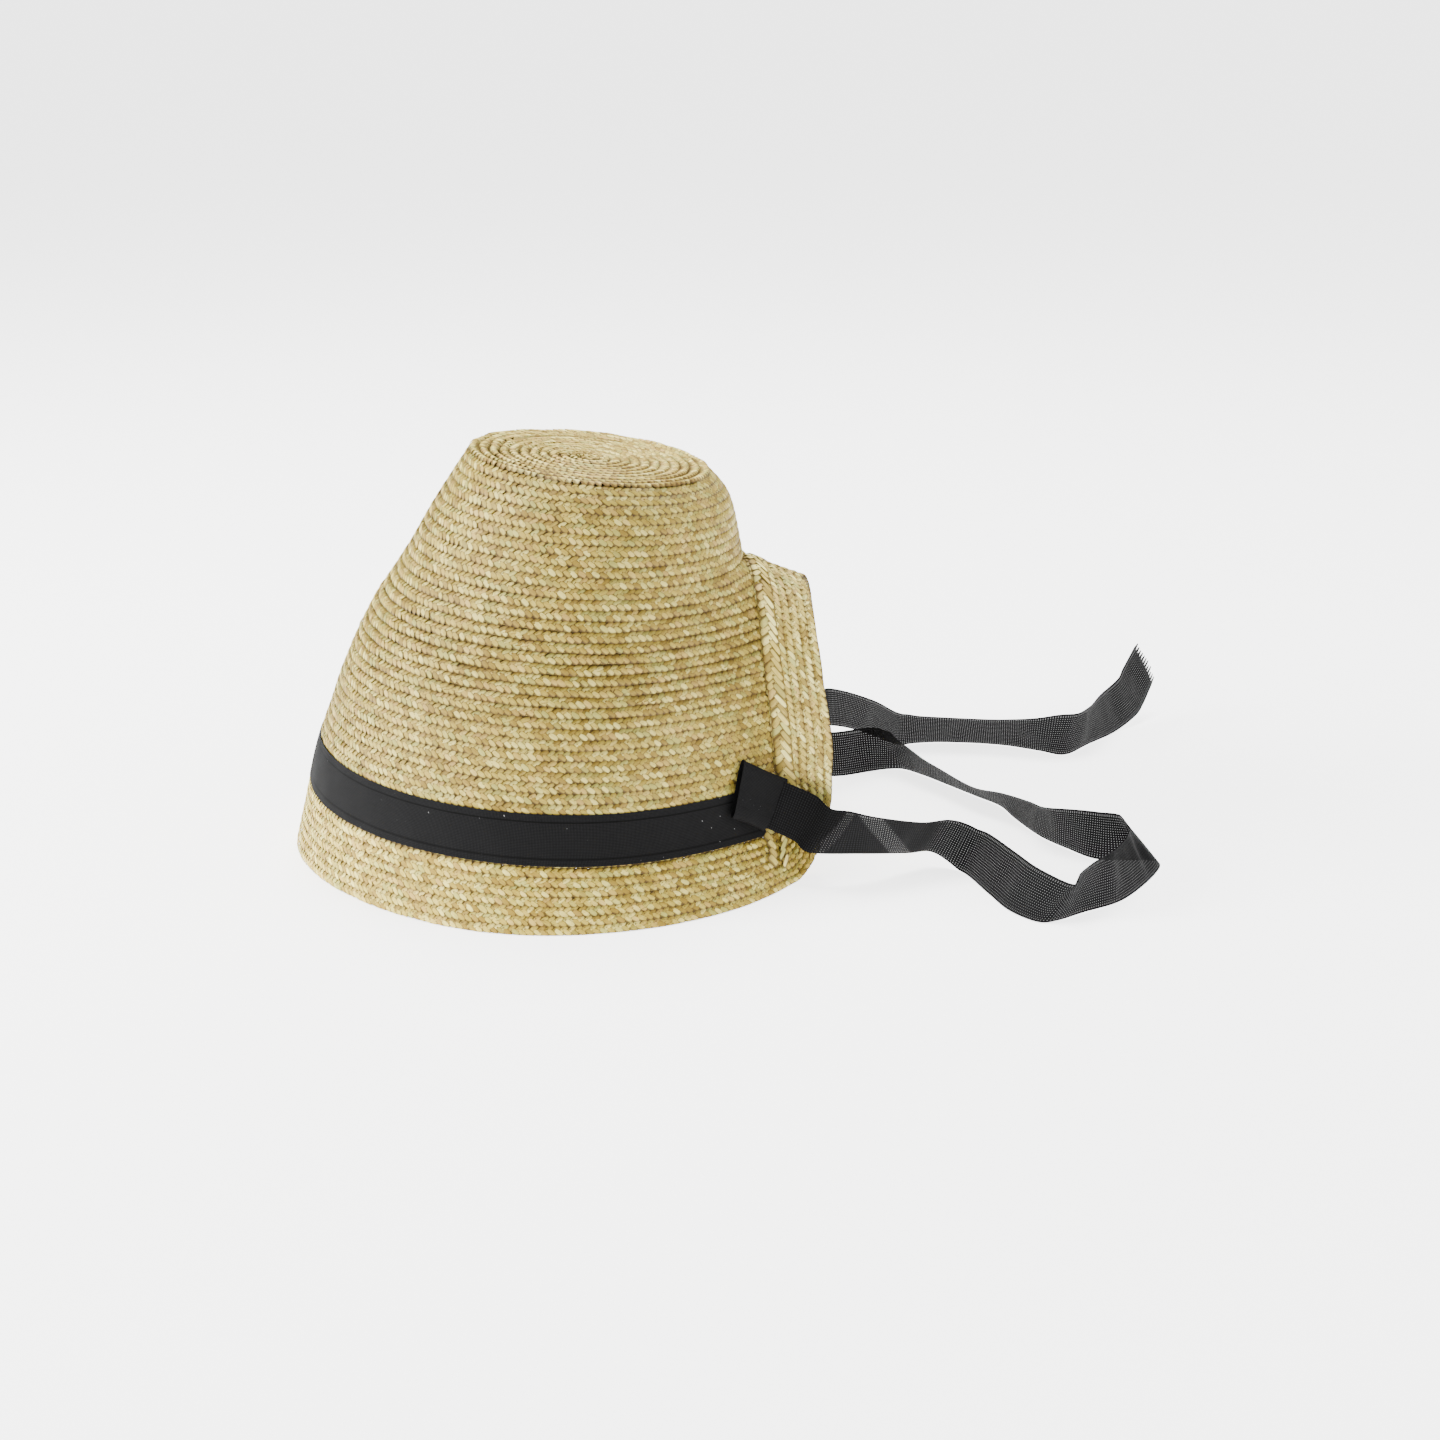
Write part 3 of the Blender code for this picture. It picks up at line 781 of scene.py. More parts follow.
def mesh_object(name: str, points: np.ndarray, faces: np.ndarray, uvs: np.ndarray,
                tones: np.ndarray | None = None) -> bpy.types.Object:
    """Make a smooth mesh object of four-sided faces.

    Args:
        name: The piece's name.
        points: Points, one a row.
        faces: Corner numbers, four a row.
        uvs: Two coordinates for each point.
        tones: Four shares for each point, kept as the colour attribute "tone".

    Returns:
        The object, linked to the scene.
    """
    mesh = bpy.data.meshes.new(name)
    mesh.vertices.add(len(points))
    mesh.vertices.foreach_set("co", points.astype(np.float32).ravel())
    mesh.loops.add(faces.size)
    mesh.loops.foreach_set("vertex_index", faces.astype(np.int32).ravel())
    mesh.polygons.add(len(faces))
    mesh.polygons.foreach_set("loop_start", np.arange(0, faces.size, 4, dtype=np.int32))
    mesh.polygons.foreach_set("use_smooth", np.ones(len(faces), bool))
    layer = mesh.uv_layers.new(name="surface")
    layer.data.foreach_set("uv", uvs[faces.ravel()].astype(np.float32).ravel())
    if tones is not None:
        attribute = mesh.color_attributes.new(name="tone", type="FLOAT_COLOR", domain="POINT")
        attribute.data.foreach_set("color", tones.astype(np.float32).ravel())
    mesh.update(calc_edges=True)
    mesh.validate()
    made = bpy.data.objects.new(name, mesh)
    bpy.context.scene.collection.objects.link(made)
    return made


def grid_faces(rows: int, columns: int, closed: bool = False) -> np.ndarray:
    """Corner numbers of the faces of a grid of points.

    Args:
        rows: Lines of points.
        columns: Points in each line.
        closed: True where the last line meets the first.

    Returns:
        Four corner numbers a row.
    """
    index = np.arange(rows * columns).reshape(rows, columns)
    if closed:
        index = np.concatenate([index, index[:1]])
    corners = [index[:-1, :-1], index[:-1, 1:], index[1:, 1:], index[1:, :-1]]
    return np.stack([corner.ravel() for corner in corners], axis=1)


@dataclass
class Plaiter:
    """Lays leaves of straw along rows of braid.

    The waves are lengths over which a row's shape, its lightness and its hue wander.
    """

    chance: np.random.Generator
    spread: LeafSpread = LeafSpread()
    row: RowShape = RowShape()
    shape_waves: tuple[float, ...] = (0.11, 0.047, 0.023)
    light_waves: tuple[float, ...] = (0.034, 0.019, 0.071)
    hue_waves: tuple[float, ...] = (0.052, 0.027)
    light_drift: float = 0.27
    hue_drift: float = 0.3

    def wander(self, along: np.ndarray, length: float, waves: Sequence[float]) -> np.ndarray:
        """Smooth wandering value along a row.

        Args:
            along: Distances along the row.
            length: Length of the row.
            waves: Wave lengths to mix.

        Returns:
            Values of about -1 to 1.
        """
        total = np.zeros_like(along)
        for wave in waves:
            turns = max(1, round(length / wave))
            total += np.sin(2 * math.pi * (along / length * turns + self.chance.random()))
        return total / len(waves)

    def outline(self, strip: Strip, style: BraidStyle, side: float, along: np.ndarray,
                centre: np.ndarray) -> tuple[np.ndarray, np.ndarray]:
        """Turn and size the leaves of a rank.

        Args:
            strip: The row.
            style: How it is plaited.
            side: 1 or -1, the way the rank slants.
            along: Distance of each leaf along the row.
            centre: Place of each leaf across the row.

        Returns:
            Distance along the row and place across it of every point, a leaf a row.
        """
        leaves = len(along)
        size = 1.0 + self.chance.normal(0.0, self.spread.size, leaves)
        turn = style.slant * side + self.chance.normal(0.0, self.spread.turn, leaves)
        u, v = style.grid()
        narrow = 1.0 - style.taper * np.abs(u) ** 3
        a = u[None] * (style.leaf_length / 2 * size[:, None])
        b = v[None] * (style.leaf_width / 2 * (size[:, None] * narrow[None]))
        cos_turn, sin_turn = np.cos(turn)[:, None], np.sin(turn)[:, None]
        along_points = along[:, None] + a * cos_turn - b * sin_turn
        across = centre[:, None] + (a * sin_turn + b * cos_turn) / strip.width
        return along_points, np.clip(across, -style.tuck, 1.0 + style.overhang)

    def lift(self, style: BraidStyle, side: float, across: np.ndarray, row_wave: np.ndarray,
             groove: float) -> np.ndarray:
        """Heights of the leaves' points over the wall.

        Args:
            style: How the row is plaited.
            side: 1 or -1, the way the rank slants.
            across: Place of every point across the row.
            row_wave: Wandering value of each leaf.
            groove: Strength of the row's overlap on the next row.

        Returns:
            The heights, a leaf a row.
        """
        row = self.row
        u, v = style.grid()
        dome = style.dome * (1 - v ** 2) * (1 - style.end_fall * u ** 2)
        lean = style.tilt * (v * side - style.end_lean * u * side)
        rise = style.proud * groove * np.clip(across, 0.0, 1.0) * (1.0 + row.bulge * row_wave)
        past = np.clip((across - row.roll_start) / row.roll_width, 0.0, 1.0)
        fall = style.edge_drop * groove * past * past
        head = np.clip((row.head_end - across) / row.head_width, 0.0, 1.0) * row.head_drop * groove
        each = self.chance.normal(0.0, self.spread.lift, (len(across), 1))
        return style.lift + dome + lean + rise - fall - head + each

    def tones(self, strip: Strip, style: BraidStyle, along: np.ndarray, across: np.ndarray,
              groove: float) -> np.ndarray:
        """Lightness, hue, chance and shadow of the leaves' points.

        Args:
            strip: The row.
            style: How it is plaited.
            along: Distance of each leaf along the row.
            across: Place of every point across the row.
            groove: Strength of the row's overlap on the next row, which sets how strong its painted shadow
                is.

        Returns:
            Four shares for every point.
        """
        row = self.row
        leaves = len(along)
        light = 0.5 + self.light_drift * self.wander(along, strip.length, self.light_waves)
        light = light + self.chance.normal(0.0, self.spread.light, leaves)
        hue = 0.5 + self.hue_drift * self.wander(along, strip.length, self.hue_waves)
        hue = hue + self.chance.normal(0.0, self.spread.hue, leaves)
        each = np.stack([light, hue, self.chance.random(leaves)], axis=1)
        each = np.broadcast_to(each[:, None], (*across.shape, 3))
        # Painted shadow: darker near the row's upper edge, under the row above, and at its lower lip. It is
        # kept as the tone's fourth share.
        shadow = np.clip(1.0 - (across - row.shade_start) / style.shade_width, 0.0, 1.0)
        lip = row.lip_shade * np.clip((across - row.lip_start) / row.lip_width, 0.0, 1.0)
        shadow = np.maximum(shadow, lip) * min(1.0, row.least_shade + row.groove_shade * groove)
        return np.clip(np.concatenate([each, shadow[..., None]], axis=2), 0.0, 1.0)

    def lay(self, batch: LeafBatch, strip: Strip, style: BraidStyle, facing: Facing,
            groove: float = 1.0) -> None:
        """Plait one row.

        Args:
            batch: Where the leaves go.
            strip: The row.
            style: How it is plaited.
            facing: The side of the wall it lies on.
            groove: Strength of the row's overlap on the next row.
        """
        count = round(strip.length / style.spacing)
        spacing = strip.length / count
        start = self.chance.random() * spacing if strip.closed else spacing / 2
        u, v = style.grid()
        faces = grid_faces(style.steps_along + 1, style.steps_across + 1)
        if facing is Facing.INNER:
            faces = faces[:, ::-1]
        for rank in range(style.ranks):
            side = 1.0 if rank % 2 == 0 else -1.0
            uvs = np.stack([u, v * side], axis=1) * 0.5 + 0.5
            middle = (rank + 0.5) / style.ranks
            along = start + (np.arange(count) + 0.5 * (rank % 2)) * spacing
            along = along + self.chance.normal(0.0, self.spread.along, count) * spacing
            centre = middle + self.chance.normal(0.0, self.spread.across, count)
            kept = strip.kept(along, centre)
            along, centre = along[kept], centre[kept]
            along_points, across = self.outline(strip, style, side, along, centre)
            row_wave = self.wander(along, strip.length, self.shape_waves)[:, None]
            lift = self.lift(style, side, across, row_wave, groove) * (1 - style.flat)
            across_points = across + self.row.edge_wander * groove * row_wave
            points = strip.place(along_points, across_points, lift)
            batch.add(points, uvs, self.tones(strip, style, along, across, groove), faces)


# Finishes


Colour = tuple[float, float, float, float]
Range = tuple[float, float]
Socket = bpy.types.NodeSocket
Value = float | Colour | Socket
WHITE: Colour = (1.0, 1.0, 1.0, 1.0)


@dataclass
class NodeTree:
    """Small maker of shader nodes in one tree."""

    tree: bpy.types.NodeTree

    def add(self, kind: str, **settings: object) -> bpy.types.Node:
        """Add a node.

        Args:
            kind: Node type.
            **settings: Node properties.

        Returns:
            The node.
        """
        node = self.tree.nodes.new(kind)
        for name, value in settings.items():
            setattr(node, name, value)
        return node

    def feed(self, node: bpy.types.Node, values: dict[str | int, Value]) -> None:
        """Link or set inputs of a node.

        Args:
            node: The node.
            values: For each input's name or number, an output to link or a constant.
        """
        for socket, value in values.items():
            target = node.inputs[socket]
            if isinstance(value, Socket):
                self.tree.links.new(value, target)
            else:
                target.default_value = value

    def output(self, kind: str, values: dict[str | int, Value], wanted: str | int = 0,
               **settings: object) -> Socket:
        """Output of a new node.

        Args:
            kind: Node type.
            values: What its inputs are fed.
            wanted: Name or number of the output.
            **settings: Node properties.

        Returns:
            The output.
        """
        node = self.add(kind, **settings)
        self.feed(node, values)
        return node.outputs[wanted]

    def math(self, operation: str, first: Value, second: Value = 0.0) -> Socket:
        """Result of a math operation on two values."""
        return self.output("ShaderNodeMath", {0: first, 1: second}, operation=operation)

    def plus(self, first: Value, second: Value) -> Socket:
        """Sum of two values."""
        return self.math("ADD", first, second)

    def minus(self, first: Value, second: Value) -> Socket:
        """First value less the second."""
        return self.math("SUBTRACT", first, second)

    def times(self, first: Value, second: Value) -> Socket:
        """Product of two values."""
        return self.math("MULTIPLY", first, second)

    def greater(self, first: Value, second: Value) -> Socket:
        """The greater of two values."""
        return self.math("MAXIMUM", first, second)

    def away(self, value: Value, middle: Value = 0.5) -> Socket:
        """Distance of a value from a middle."""
        return self.math("ABSOLUTE", self.minus(value, middle))

    def swing(self, value: Value, share: float) -> Socket:
        """How far a value lies over a half, times a share."""
        return self.times(self.minus(value, 0.5), share)

    def spread(self, value: Value, limits: Range, results: Range = (0.0, 1.0)) -> Socket:
        """Smooth step of a value from one range to another."""
        values = {"Value": value, "From Min": limits[0], "From Max": limits[1],
                  "To Min": results[0], "To Max": results[1]}
        return self.output("ShaderNodeMapRange", values, "Result", interpolation_type="SMOOTHSTEP")

    def noise(self, vector: Socket, scale: float, detail: float, roughness: float = 0.5) -> Socket:
        """Noise at a vector."""
        values = {"Vector": vector, "Scale": scale, "Detail": detail, "Roughness": roughness}
        return self.output("ShaderNodeTexNoise", values, "Fac")

    def vector(self, x: Value, y: Value, z: Value = 0.0) -> Socket:
        """Vector of three values."""
        return self.output("ShaderNodeCombineXYZ", {0: x, 1: y, 2: z})

    def split(self, vector: Socket) -> tuple[Socket, Socket, Socket]:
        """The three values of a vector.

        Args:
            vector: The vector.

        Returns:
            Its x, y and z.
        """
        node = self.add("ShaderNodeSeparateXYZ")
        self.feed(node, {0: vector})
        return tuple(node.outputs)

    def mix(self, share: Value, first: Value, second: Value, kind: str = "MIX") -> Socket:
        """Colour mixed from two colours."""
        values = {0: share, 6: first, 7: second}
        return self.output("ShaderNodeMix", values, 2, data_type="RGBA", blend_type=kind)

    def bump(self, height: Socket, distance: float, strength: float) -> Socket:
        """Normal of a height."""
        values = {"Height": height, "Distance": distance, "Strength": strength}
        return self.output("ShaderNodeBump", values, "Normal")

    def surface(self) -> Socket:
        """Place on the piece's surface, from its UV map."""
        return self.output("ShaderNodeUVMap", {}, "UV", uv_map="surface")


class Group(Enum):
    """Names of the shared shader groups."""

    STRAW = "straw_fibre"
    WEAVE = "ribbon_weave"


@dataclass(frozen=True)
class StrawLook:
    """Split straw: its colours, from the darkest, which stands for painted shade at the leaves' edges and
    ends, under the next leaf and in the rows' shadow, to the palest leaf, and its grain.

    The counts are waves of grain on a leaf. Each range goes from where a colour or a shade begins to
    where it is full, and each share says how strong it is there.
    """

    edge: Colour = (0.060, 0.028, 0.002, 1.0)
    deep: Colour = (0.270, 0.175, 0.014, 1.0)
    mid: Colour = (0.470, 0.348, 0.046, 1.0)
    pale: Colour = (0.740, 0.630, 0.175, 1.0)
    green: Colour = (0.420, 0.400, 0.090, 1.0)
    pink: Colour = (0.600, 0.400, 0.105, 1.0)
    seed_shift: float = 37.0
    seed_across: float = 3.1
    count_along: float = 2.2
    count_across: float = 15.0
    fine_across: float = 3.3
    fine_share: float = 0.5
    grain_roughness: float = 0.6
    blotch_along: float = 0.9
    blotch_across: float = 0.12
    fibre_share: float = 0.7
    blotch_share: float = 0.5
    mid_range: Range = (0.10, 0.55)
    pale_range: Range = (0.50, 0.95)
    green_range: Range = (0.62, 0.95)
    green_share: float = 0.75
    pink_range: Range = (0.40, 0.05)
    pink_share: float = 0.60
    # Painted shade: under the next leaf, at the leaves' edges and ends, and in the row's shadow.
    covered_shade_range: Range = (0.40, 0.16)
    covered_shade_share: float = 0.85
    side_shade_range: Range = (0.86, 0.98)
    side_shade_share: float = 0.8
    end_shade_range: Range = (0.34, 0.47)
    edge_shade_share: float = 0.92
    shadow_share: float = 0.95
    fibre_range: Range = (0.2, 0.8)
    roughness_range: Range = (0.50, 0.68)
    specular: float = 0.35
    bump_depth: float = 0.00018
    bump_strength: float = 0.9


@dataclass(frozen=True)
class GroundLook:
    """Straw wall under the leaves, drawn as the herringbone of a plain braid, with painted shade in its
    grooves.
    """

    slant: float = 1.6
    leaf_range: Range = (0.34, 0.50)
    row_range: Range = (0.40, 0.50)
    fibres_across: float = 9.0
    fibres_along: float = 1.5
    chance_share: float = 0.6
    fibre_share: float = 0.4
    # Share of painted shade in the grooves.
    groove_shade_share: float = 0.8
    fibre_height: float = 0.2
    roughness: float = 0.7
    bump_depth: float = 0.0006
    bump_strength: float = 0.9


@dataclass(frozen=True)
class WeaveLook:
    """Ribbon weave, with ranges in shares of the threads' pitch or of the ribbon's width.

    A row of larger gaps runs between the body of the weave and the selvedge.
    """

    wander_scale: float = 240.0
    wander: float = 0.00016
    gap_range: Range = (0.32, 0.40)
    selvedge_range: Range = (0.452, 0.462)
    row_range: Range = (0.425, 0.435)
    row_gap_range: Range = (0.33, 0.43)
    row_share: float = 0.8
    selvedge_rise: float = 0.25
    # Ranges of the painted shade between the threads, away from each warp and weft thread's middle.
    warp_shade_range: Range = (0.20, 0.46)
    weft_shade_range: Range = (0.16, 0.42)


@dataclass(frozen=True)
class RibbonLook:
    """Black ribbon: its colours on the threads and of the painted shade between them, its stitches and its
    lint.

    A single layer is darker than a doubled ribbon, and light shows through its gaps.
    """

    thread: Colour = (0.0125, 0.0125, 0.0132, 1.0)
    # between and single_between colour the painted shade between the threads.
    between: Colour = (0.0022, 0.0022, 0.0022, 1.0)
    single_thread: Colour = (0.0050, 0.0050, 0.0055, 1.0)
    single_between: Colour = (0.0010, 0.0010, 0.0010, 1.0)
    single_share: float = 0.12
    single_lead: float = 0.004
    single_run: float = 0.012
    fold_core: float = 0.6
    stitch: Colour = (0.0015, 0.0015, 0.0015, 1.0)
    stitch_share: float = 0.95
    stitch_range: Range = (0.00060, 0.00020)
    stitch_inset_low: float = 0.0035
    stitch_inset_high: float = 0.0042
    lint: Colour = (0.30, 0.30, 0.30, 1.0)
    lint_share: float = 0.5
    lint_scale: float = 420.0
    lint_range: Range = (0.77, 0.81)
    roughness: float = 0.82
    specular: float = 0.08
    bump_depth: float = 0.00022
    bump_strength: float = 0.7


def new_group(kind: Group, inputs: Iterable[tuple[str, str]],
              outputs: Iterable[tuple[str, str]]) -> tuple[NodeTree, bpy.types.Node, bpy.types.Node]:
    """Start a shader group.

    Args:
        kind: The group.
        inputs: Name and socket type of each input.
        outputs: Name and socket type of each output.

    Returns:
        The tree's maker, its input node and its output node.
    """
    tree = bpy.data.node_groups.new(kind.value, "ShaderNodeTree")
    for name, socket_type in inputs:
        tree.interface.new_socket(name=name, in_out="INPUT", socket_type=socket_type)
    for name, socket_type in outputs:
        tree.interface.new_socket(name=name, in_out="OUTPUT", socket_type=socket_type)
    maker = NodeTree(tree)
    return maker, maker.add("NodeGroupInput"), maker.add("NodeGroupOutput")


def straw_group(look: StrawLook) -> bpy.types.NodeTree:
    """Group that colours one leaf of straw: its own tone and fibres along it. It also paints shade at the
    leaf's edges and ends, on its side under the next leaf, and in the row's shadow.

    Args:
        look: Colours and grain of the straw.

    Returns:
        The group, with outputs Colour, Height and Roughness.
    """
    maker, source, result = new_group(
        Group.STRAW,
        [("Leaf", "NodeSocketVector"), ("Tone", "NodeSocketVector"), ("Shadow", "NodeSocketFloat")],
        [("Colour", "NodeSocketColor"), ("Height", "NodeSocketFloat"), ("Roughness", "NodeSocketFloat")],
    )
    u, v, _ = maker.split(source.outputs["Leaf"])
    light, hue, seed = maker.split(source.outputs["Tone"])
    shift = maker.times(seed, look.seed_shift)
    along = maker.plus(maker.times(u, look.count_along), shift)
    across = maker.plus(maker.times(v, look.count_across), maker.times(shift, look.seed_across))
    rough = look.grain_roughness
    fibres = maker.noise(maker.vector(along, across, shift), 1.0, 3.0, rough)
    fine = maker.noise(maker.vector(along, maker.times(across, look.fine_across), shift), 1.0, 2.0, rough)
    wide = maker.vector(maker.times(along, look.blotch_along), maker.times(across, look.blotch_across), shift)
    blotch = maker.noise(wide, 1.0, 2.0)
    tone = maker.plus(light, maker.swing(fibres, look.fibre_share))
    tone = maker.plus(tone, maker.swing(blotch, look.blotch_share))
    colour = maker.mix(maker.spread(tone, look.mid_range), look.deep, look.mid)
    colour = maker.mix(maker.spread(tone, look.pale_range), colour, look.pale)
    colour = maker.mix(maker.spread(hue, look.green_range, (0.0, look.green_share)), colour, look.green)
    colour = maker.mix(maker.spread(hue, look.pink_range, (0.0, look.pink_share)), colour, look.pink)
    # Painted shade: the side of the leaf under its neighbour and the lines at its edges and ends, where
    # leaves meet, are mixed towards the edge colour.
    covered_shade = maker.times(maker.spread(v, look.covered_shade_range), look.covered_shade_share)
    edge = maker.greater(maker.spread(v, look.side_shade_range, (0.0, look.side_shade_share)),
                         maker.spread(maker.away(u), look.end_shade_range))
    painted_shade = maker.greater(covered_shade, maker.times(edge, look.edge_shade_share))
    # Painted shadow of the row above and of the row's lower lip, read from the alpha of the tone attribute.
    painted_shade = maker.greater(painted_shade, maker.times(source.outputs["Shadow"], look.shadow_share))
    maker.feed(result, {
        "Colour": maker.mix(painted_shade, colour, look.edge),
        "Height": maker.plus(fibres, maker.times(fine, look.fine_share)),
        "Roughness": maker.spread(fibres, look.fibre_range, look.roughness_range),
    })
    return maker.tree


def weave_group(look: WeaveLook) -> bpy.types.NodeTree:
    """Group for ribbon: threads both ways, the painted shade and the gaps between them, and firm selvedges.

    Args:
        look: Places of the gaps, threads and selvedges.

    Returns:
        The group, with outputs Shade, Height and Cover.
    """
    maker, source, result = new_group(
        Group.WEAVE,
        [("Place", "NodeSocketVector"), ("Width", "NodeSocketFloat"), ("Pitch", "NodeSocketFloat"),
         ("Openness", "NodeSocketFloat")],
        [("Shade", "NodeSocketFloat"), ("Height", "NodeSocketFloat"), ("Cover", "NodeSocketFloat")],
    )
    u, v, _ = maker.split(source.outputs["Place"])
    shift = maker.swing(maker.noise(maker.vector(u, v), look.wander_scale, 2.0), look.wander)
    pitch = source.outputs["Pitch"]
    warp_away, weft_away = (
        maker.away(maker.math("FRACT", maker.math("DIVIDE", maker.plus(place, shift), pitch)))
        for place in (v, u)
    )
    gap = maker.times(maker.spread(warp_away, look.gap_range), maker.spread(weft_away, look.gap_range))
    from_middle = maker.away(maker.math("DIVIDE", v, source.outputs["Width"]))
    selvedge = maker.spread(from_middle, look.selvedge_range)
    body = maker.minus(1.0, selvedge)
    row = maker.times(maker.spread(from_middle, look.row_range), body)
    row = maker.times(row, maker.spread(weft_away, look.row_gap_range))
    gap = maker.greater(maker.times(gap, body), maker.times(row, look.row_share))
    gap = maker.times(gap, source.outputs["Openness"])
    height = maker.minus(1.0, maker.times(warp_away, weft_away))
    # Shade is painted shade between the threads, growing away from each thread's middle.
    maker.feed(result, {
        "Shade": maker.greater(maker.spread(warp_away, look.warp_shade_range),
                               maker.spread(weft_away, look.weft_shade_range)),
        "Height": maker.plus(height, maker.times(selvedge, look.selvedge_rise)),
        "Cover": maker.minus(1.0, gap),
    })
    return maker.tree


@dataclass
class Workshop:
    """Looks of the straw and ribbon, and the shared groups that are built once from them."""

    straw: StrawLook = StrawLook()
    ground: GroundLook = GroundLook()
    weave: WeaveLook = WeaveLook()
    ribbon: RibbonLook = RibbonLook()
    trees: dict[Group, bpy.types.NodeTree] = field(init=False)

    def __post_init__(self) -> None:
        """Build the shared groups."""
        self.trees = {Group.STRAW: straw_group(self.straw), Group.WEAVE: weave_group(self.weave)}

    def start(self, name: str) -> tuple[bpy.types.Material, NodeTree, bpy.types.Node]:
        """Start a material.

        Args:
            name: The material's name.

        Returns:
            The material, its tree's maker and its Principled BSDF.
        """
        material = bpy.data.materials.new(name)
        material.use_nodes = True
        return material, NodeTree(material.node_tree), material.node_tree.nodes["Principled BSDF"]

    def place_group(self, maker: NodeTree, kind: Group, values: dict[str, Value]) -> bpy.types.NodeOutputs:
        """Place a shared group in a material.

        Args:
            maker: The material's maker.
            kind: The group.
            values: What its inputs are fed.

        Returns:
            The group's outputs.
        """
        node = maker.add("ShaderNodeGroup", node_tree=self.trees[kind])
        maker.feed(node, values)
        return node.outputs


@dataclass(frozen=True)
class StrawFinish:
    """Straw leaves: the shared straw, tinted, with a share of its colour kept."""

    name: str
    tint: Colour
    saturation: float = 1.0

    def build(self, workshop: Workshop) -> bpy.types.Material:
        """Build the material.

        Args:
            workshop: Holder of the looks and shared groups.

        Returns:
            The material.
        """
        look = workshop.straw
        material, maker, shader = workshop.start(self.name)
        tone = maker.add("ShaderNodeAttribute", attribute_name="tone").outputs
        straw = workshop.place_group(maker, Group.STRAW, {
            "Leaf": maker.surface(), "Tone": tone["Vector"], "Shadow": tone["Alpha"],
        })
        tinted = maker.mix(1.0, straw["Colour"], self.tint, "MULTIPLY")
        values = {"Color": tinted, "Saturation": self.saturation}
        maker.feed(shader, {
            "Base Color": maker.output("ShaderNodeHueSaturation", values, "Color"),
            "Roughness": straw["Roughness"],
            "Specular IOR Level": look.specular,
            "Normal": maker.bump(straw["Height"], look.bump_depth, look.bump_strength),
        })
        return material


@dataclass(frozen=True)
class GroundFinish:
    """Straw wall that shows between the leaves."""

    name: str

    def build(self, workshop: Workshop) -> bpy.types.Material:
        """Build the material.

        Args:
            workshop: Holder of the looks and shared groups.

        Returns:
            The material.
        """
        look, straw = workshop.ground, workshop.straw
        material, maker, shader = workshop.start(self.name)
        u, v, _ = maker.split(maker.surface())
        fold = maker.away(maker.math("FRACT", v))
        slanted = maker.plus(u, maker.times(fold, look.slant))
        number = maker.math("FLOOR", slanted)
        line = maker.math("FLOOR", maker.times(v, 2.0))
        chance = maker.output("ShaderNodeTexWhiteNoise", {"Vector": maker.vector(number, line)}, "Value",
                              noise_dimensions="2D")
        # The grooves at the leaves' edges and between rows sink the bump and take painted shade, mixed
        # towards the straw's edge colour.
        leaf_edge = maker.spread(maker.away(maker.math("FRACT", slanted)), look.leaf_range)
        groove = maker.greater(leaf_edge, maker.spread(fold, look.row_range))
        place = maker.vector(maker.times(slanted, look.fibres_across), maker.times(u, look.fibres_along),
                             number)
        fibres = maker.noise(place, 1.0, 3.0, straw.grain_roughness)
        tone = maker.plus(maker.times(chance, look.chance_share), maker.times(fibres, look.fibre_share))
        colour = maker.mix(tone, straw.deep, straw.mid)
        height = maker.plus(maker.minus(1.0, groove), maker.times(fibres, look.fibre_height))
        maker.feed(shader, {
            "Base Color": maker.mix(maker.times(groove, look.groove_shade_share), colour, straw.edge),
            "Roughness": look.roughness,
            "Normal": maker.bump(height, look.bump_depth, look.bump_strength),
        })
        return material


class Weave(Enum):
    """Kind of ribbon weave, with the pitch of its threads."""

    FIRM = 0.00070
    OPEN = 0.00128


@dataclass(frozen=True)
class Fold:
    """Slanting stretch of a doubled ribbon where only one layer lies."""

    start: float
    slope: float
    half_width: float
    share: float


